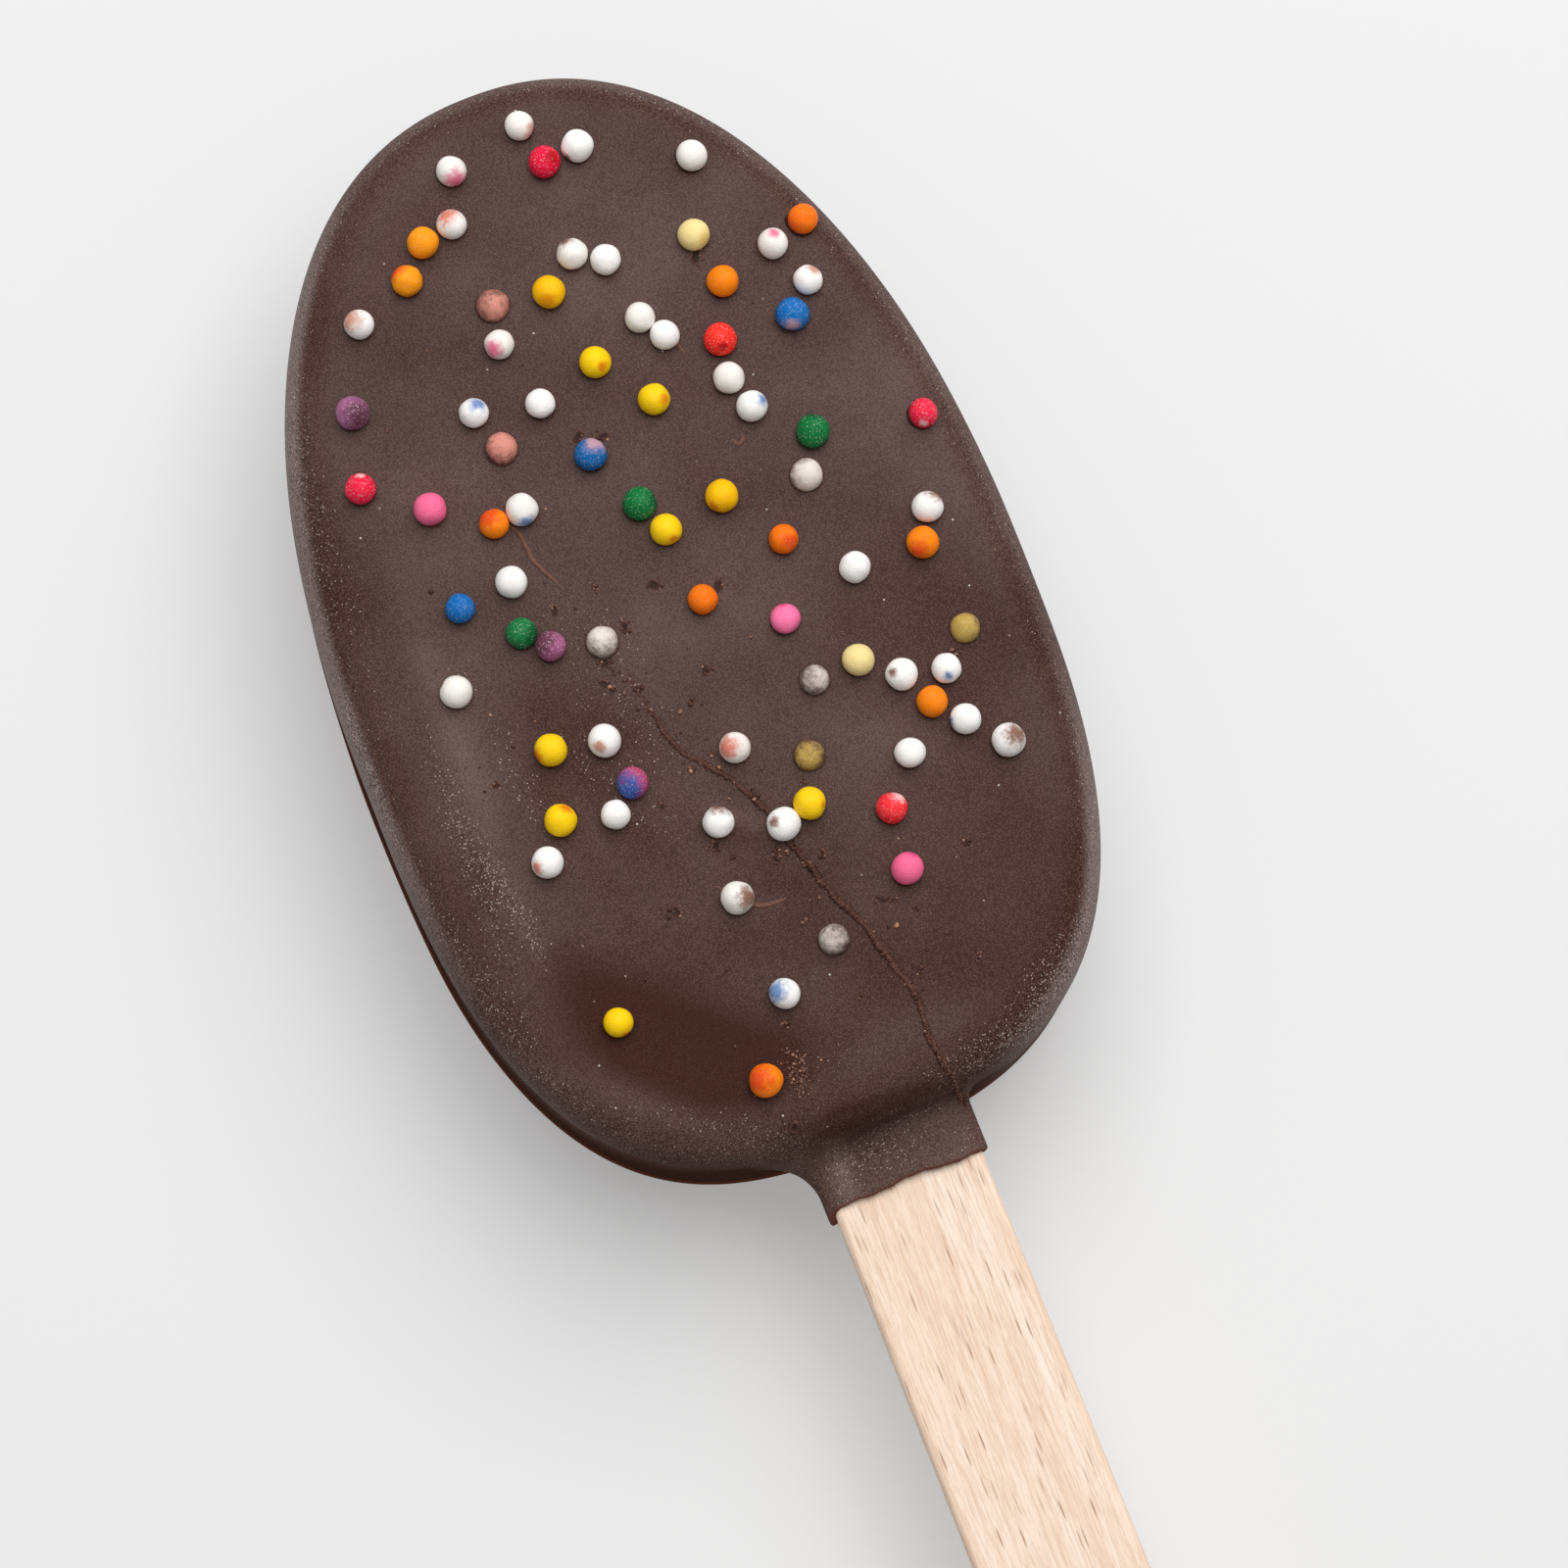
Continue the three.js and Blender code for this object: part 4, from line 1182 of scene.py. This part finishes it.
# A pit is a low ragged ring with a dark floor: a profile carried round an uneven circle. Its
# dark floor and the darkening down the inside of the ring are painted shade that stands in for
# the pit's depth. Only one side of its rim has broken to copper.
def makePits(material):
    draw, (places, radius) = np.random.default_rng(crumbs["seed"] + 3), pitSpots()
    number, sides, rows = len(places), pits["sides"], len(pits["profile"])
    outward, upward = (column[:, None] for column in np.array(pits["profile"]).T)
    around, phase = circle(sides), draw.uniform(0, anyTurn, (number, 2))
    uneven = 1 + 0.25 * np.sin(2 * around + phase[:, :1])
    uneven = uneven + draw.uniform(-0.15, 0.15, (number, sides))
    out = (radius[:, None] * uneven)[:, None] * outward
    lift = np.broadcast_to(upward * (0.5 + radius[:, None, None] * 2), out.shape)
    x = places[:, 0, None, None] + out * np.cos(around)
    y = places[:, 1, None, None] + out * np.sin(around)
    ends = [onFace(*places.T, np.full(number, lift))[:, None] for lift in (0.012, -0.08)]
    points = np.concatenate([onFace(x, y, lift).reshape(number, -1, 3), *ends], 1)
    size = points.shape[1]
    broken = np.clip(np.sin(around + phase[:, 1:]), 0, 1) ** 2 * draw.uniform(0, 1, (number, 1))
    rimAndInnerShadeTone, brokenTone = (np.array(pits[name])[:, None] for name in ("rimAndInnerShadeTone", "brokenTone"))
    rim = (rimAndInnerShadeTone + broken[:, None] * brokenTone).reshape(number, -1)
    endTones = np.broadcast_to([0, 0.4], (number, 2))  # of the floor, painted shade, and of the hidden underside
    tone = np.concatenate([rim, endTones], 1).ravel()
    floor = fan(size - 2, (rows - 1) * sides, sides, True)
    triangles = np.concatenate([floor, fan(size - 1, 0, sides, False)])
    faces = repeated([gridQuads(rows, sides)[:, ::-1], triangles], number, size)
    makePiece("chocolatePits", points, faces, material, {"tone": tone})


coatPolygons = [face for group in coatFaces for face in group.tolist()]
coatTree = BVHTree.FromPolygons(coatPoints.tolist(), coatPolygons)
copperyCrumb = crumbMaterial()
makeCrumbs(copperyCrumb)
makeThreads(copperyCrumb)
makePits(copperyCrumb)


stick = {
    "length": 93.0,
    "halfWidth": 5.0,
    "outerHalfWidth": 5.2,  # it widens a little to its outer end
    "halfThickness": 1.0,
    "edge": 0.5,  # rounding of the edges
    "straightRows": 150,
    "endRows": 26,
    "endTurn": 89,  # degrees of each round end
    "flatColumns": 10,  # across half of the flat face
    "edgeColumns": 7,
    "wallColumns": 3,
    "fibres": (6800, 320, 6800),
    "bands": (800, 30, 800),
    "flecks": (3000, 170, 3000),
    "darkBand": (238, 211, 188),
    "paleBand": (250, 233, 218),
    "fibre": (208, 170, 138),
    "fleck": (160, 114, 78),
}


# The plan is a strip with half-round ends. A point is a share of the half width from the middle
# line, and its height falls off round the edge by its distance from the plan's outline.
def stickSurface():
    s, edge, thick = stick, stick["edge"], stick["halfThickness"]
    wide, narrow = s["outerHalfWidth"], s["halfWidth"]
    outerY = -wholeLength / 2 + wide
    innerY = -wholeLength / 2 + s["length"] - narrow
    turn = math.radians(s["endTurn"]) * steps(s["endRows"])
    straight = lerp(outerY, innerY, np.linspace(0, 1, s["straightRows"] + 1))
    taper = lerp(wide, narrow, np.clip((straight - outerY) / (barEndY - outerY), 0, 1))
    outerEnd, innerEnd = outerY - wide * np.sin(turn[::-1]), innerY + narrow * np.sin(turn)
    y = np.concatenate([outerEnd, straight, innerEnd])[:, None]
    half = [wide * np.cos(turn[::-1]), taper, narrow * np.cos(turn)]
    half = np.concatenate(half)[:, None]
    flat = steps(s["flatColumns"]) * (1 - edge / narrow)
    bend = 1 - edge / narrow * (1 - np.sin(steps(s["edgeColumns"]) * math.pi / 2))
    share = np.concatenate([flat, bend])
    x = np.concatenate([share[::-1], [0], -share]) * half
    beyond = np.where(y < outerY, outerY - y, np.maximum(y - innerY, 0))
    inEnd = np.where(y < widestY, wide, narrow) - np.hypot(x, beyond)
    drop = edge - np.clip(np.where(beyond > 0, inEnd, half - np.abs(x)), 0, edge)
    height = thick - edge + np.sqrt(np.maximum(edge**2 - drop**2, 0))
    wall = np.linspace(1, -1, s["wallColumns"] + 2)[1:-1] * (thick - edge)
    wall = np.broadcast_to(wall, (len(y), len(wall)))
    side = half * np.ones(wall.shape)
    x = np.concatenate([x, -side, x[:, ::-1], side], 1) + collar["stickOffset"]
    z = np.concatenate([height, wall, -height[:, ::-1], -wall], 1) + collar["stickMiddle"]
    grid = np.stack([x, np.broadcast_to(y, x.shape), z], -1)
    points = np.concatenate([grid.reshape(-1, 3), grid[[0, -1]].mean(1)])
    return points, [gridQuads(*x.shape), endFans(*x.shape)]


# Beech: pale, with straight fine fibres, faint broad bands and many short brown flecks along it.
def beechMaterial():
    r = Recipe("sandedBeech", {"IOR": 1.45, "Specular IOR Level": 0.3})
    place = r.place()
    sideways = (r.noise(place, 45, 1, 0.5) - 0.5) * 0.0004
    bend = r.add("ShaderNodeCombineXYZ", {}, {"X": sideways})
    bent = r.add("ShaderNodeVectorMath", {"operation": "ADD"}, {0: place, 1: bend})
    fibre = r.noise(r.stretched(bent, stick["fibres"]), 1, 4, 0.85)
    band = r.noise(r.stretched(bent, stick["bands"]), 1, 4, 0.6)
    flecks = r.cells(r.stretched(bent, stick["flecks"], (0, math.pi / 4, 0)), 1, "2D")
    chosen = r.numberOf(flecks)
    fleck = (1 - flecks.step(0.06, 0.16)) * chosen.step(0.3, 0.4)
    colour = r.painted(
        fromScreen(*stick["darkBand"]),
        (band.step(0.25, 0.75), stick["paleBand"]),
        (fibre.step(0.42, 0.62) * 0.48, stick["fibre"]),
        (fleck * (0.15 + chosen.other("Green") * 0.6), stick["fleck"]),
    )
    normal = r.bump(fibre * 0.025 - fleck * 0.02)
    return r.finish({"Base Color": colour, "Roughness": 0.58 + fibre * 0.15, "Normal": normal})


stickPoints, stickFaces = stickSurface()
makePiece("woodenStick", stickPoints, stickFaces, beechMaterial(), {}, "stick")


studio = {
    "floorRadius": 1.5,
    "floorSides": 64,
    "floorColour": (0.5, 0.5, 0.501),
    "floorShade": 0.985,  # of its darker patches
    "floorGlow": 0.28,  # the floor is a light table, so that shadows stay faint
    "glowColour": (1.0, 0.998, 0.998),
    "skyColour": (1.0, 0.995, 0.99),
    "skyStrength": 0.3,
    "keyPower": 10.0,  # watts
    "keySize": 0.9,
    "keyDistance": 0.9,
    "keyAim": (0, 0.02, 0.01),
    "keyElevation": 62.0,  # degrees
    "keyFromRight": 0.25,  # share of the picture's right in the key's direction
    "keyFromTop": 1.0,
}


# A round floor, an even pale sky, and one square lamp at keyDistance from the part, high up
# towards the picture's top.
def makeStudio():
    s, around = studio, circle(studio["floorSides"])
    ring = s["floorRadius"] * np.stack([np.cos(around), np.sin(around), 0 * around], -1)
    mesh = bpy.data.meshes.new("paleFloor")
    mesh.from_pydata(ring.tolist(), [], [list(range(s["floorSides"]))])
    glow = {"Emission Color": s["glowColour"], "Emission Strength": s["floorGlow"]}
    r = Recipe("paleFloor", {"Roughness": 0.6, **glow})
    shaded = tuple(s["floorShade"] * value for value in s["floorColour"])
    tone = r.blend(r.noise(r.place(), 9, 2, 0.5), shaded, s["floorColour"])
    mesh.materials.append(r.finish({"Base Color": tone}))
    floor = newObject("paleFloor", mesh)

    world = bpy.data.worlds.new("paleRoom")
    world.use_nodes = True
    background = world.node_tree.nodes["Background"]
    background.inputs["Color"].default_value = (*s["skyColour"], 1)
    background.inputs["Strength"].default_value = s["skyStrength"]
    bpy.context.scene.world = world

    level = (s["keyFromRight"] * pictureRight - s["keyFromTop"] * pictureDown).normalized()
    elevation = math.radians(s["keyElevation"])
    towards = level * math.cos(elevation) + Vector((0, 0, math.sin(elevation)))
    data = bpy.data.lights.new("softWindow", "AREA")
    data.shape, data.size, data.energy = "SQUARE", s["keySize"], s["keyPower"]
    matrix = towards.to_track_quat("Z", "Y").to_matrix().to_4x4()
    matrix.translation = towards * s["keyDistance"] + Vector(s["keyAim"])
    newObject("softWindow", data, matrix)
    bpy.context.scene.view_settings.view_transform = "Standard"


makeStudio()
print("studio ready")
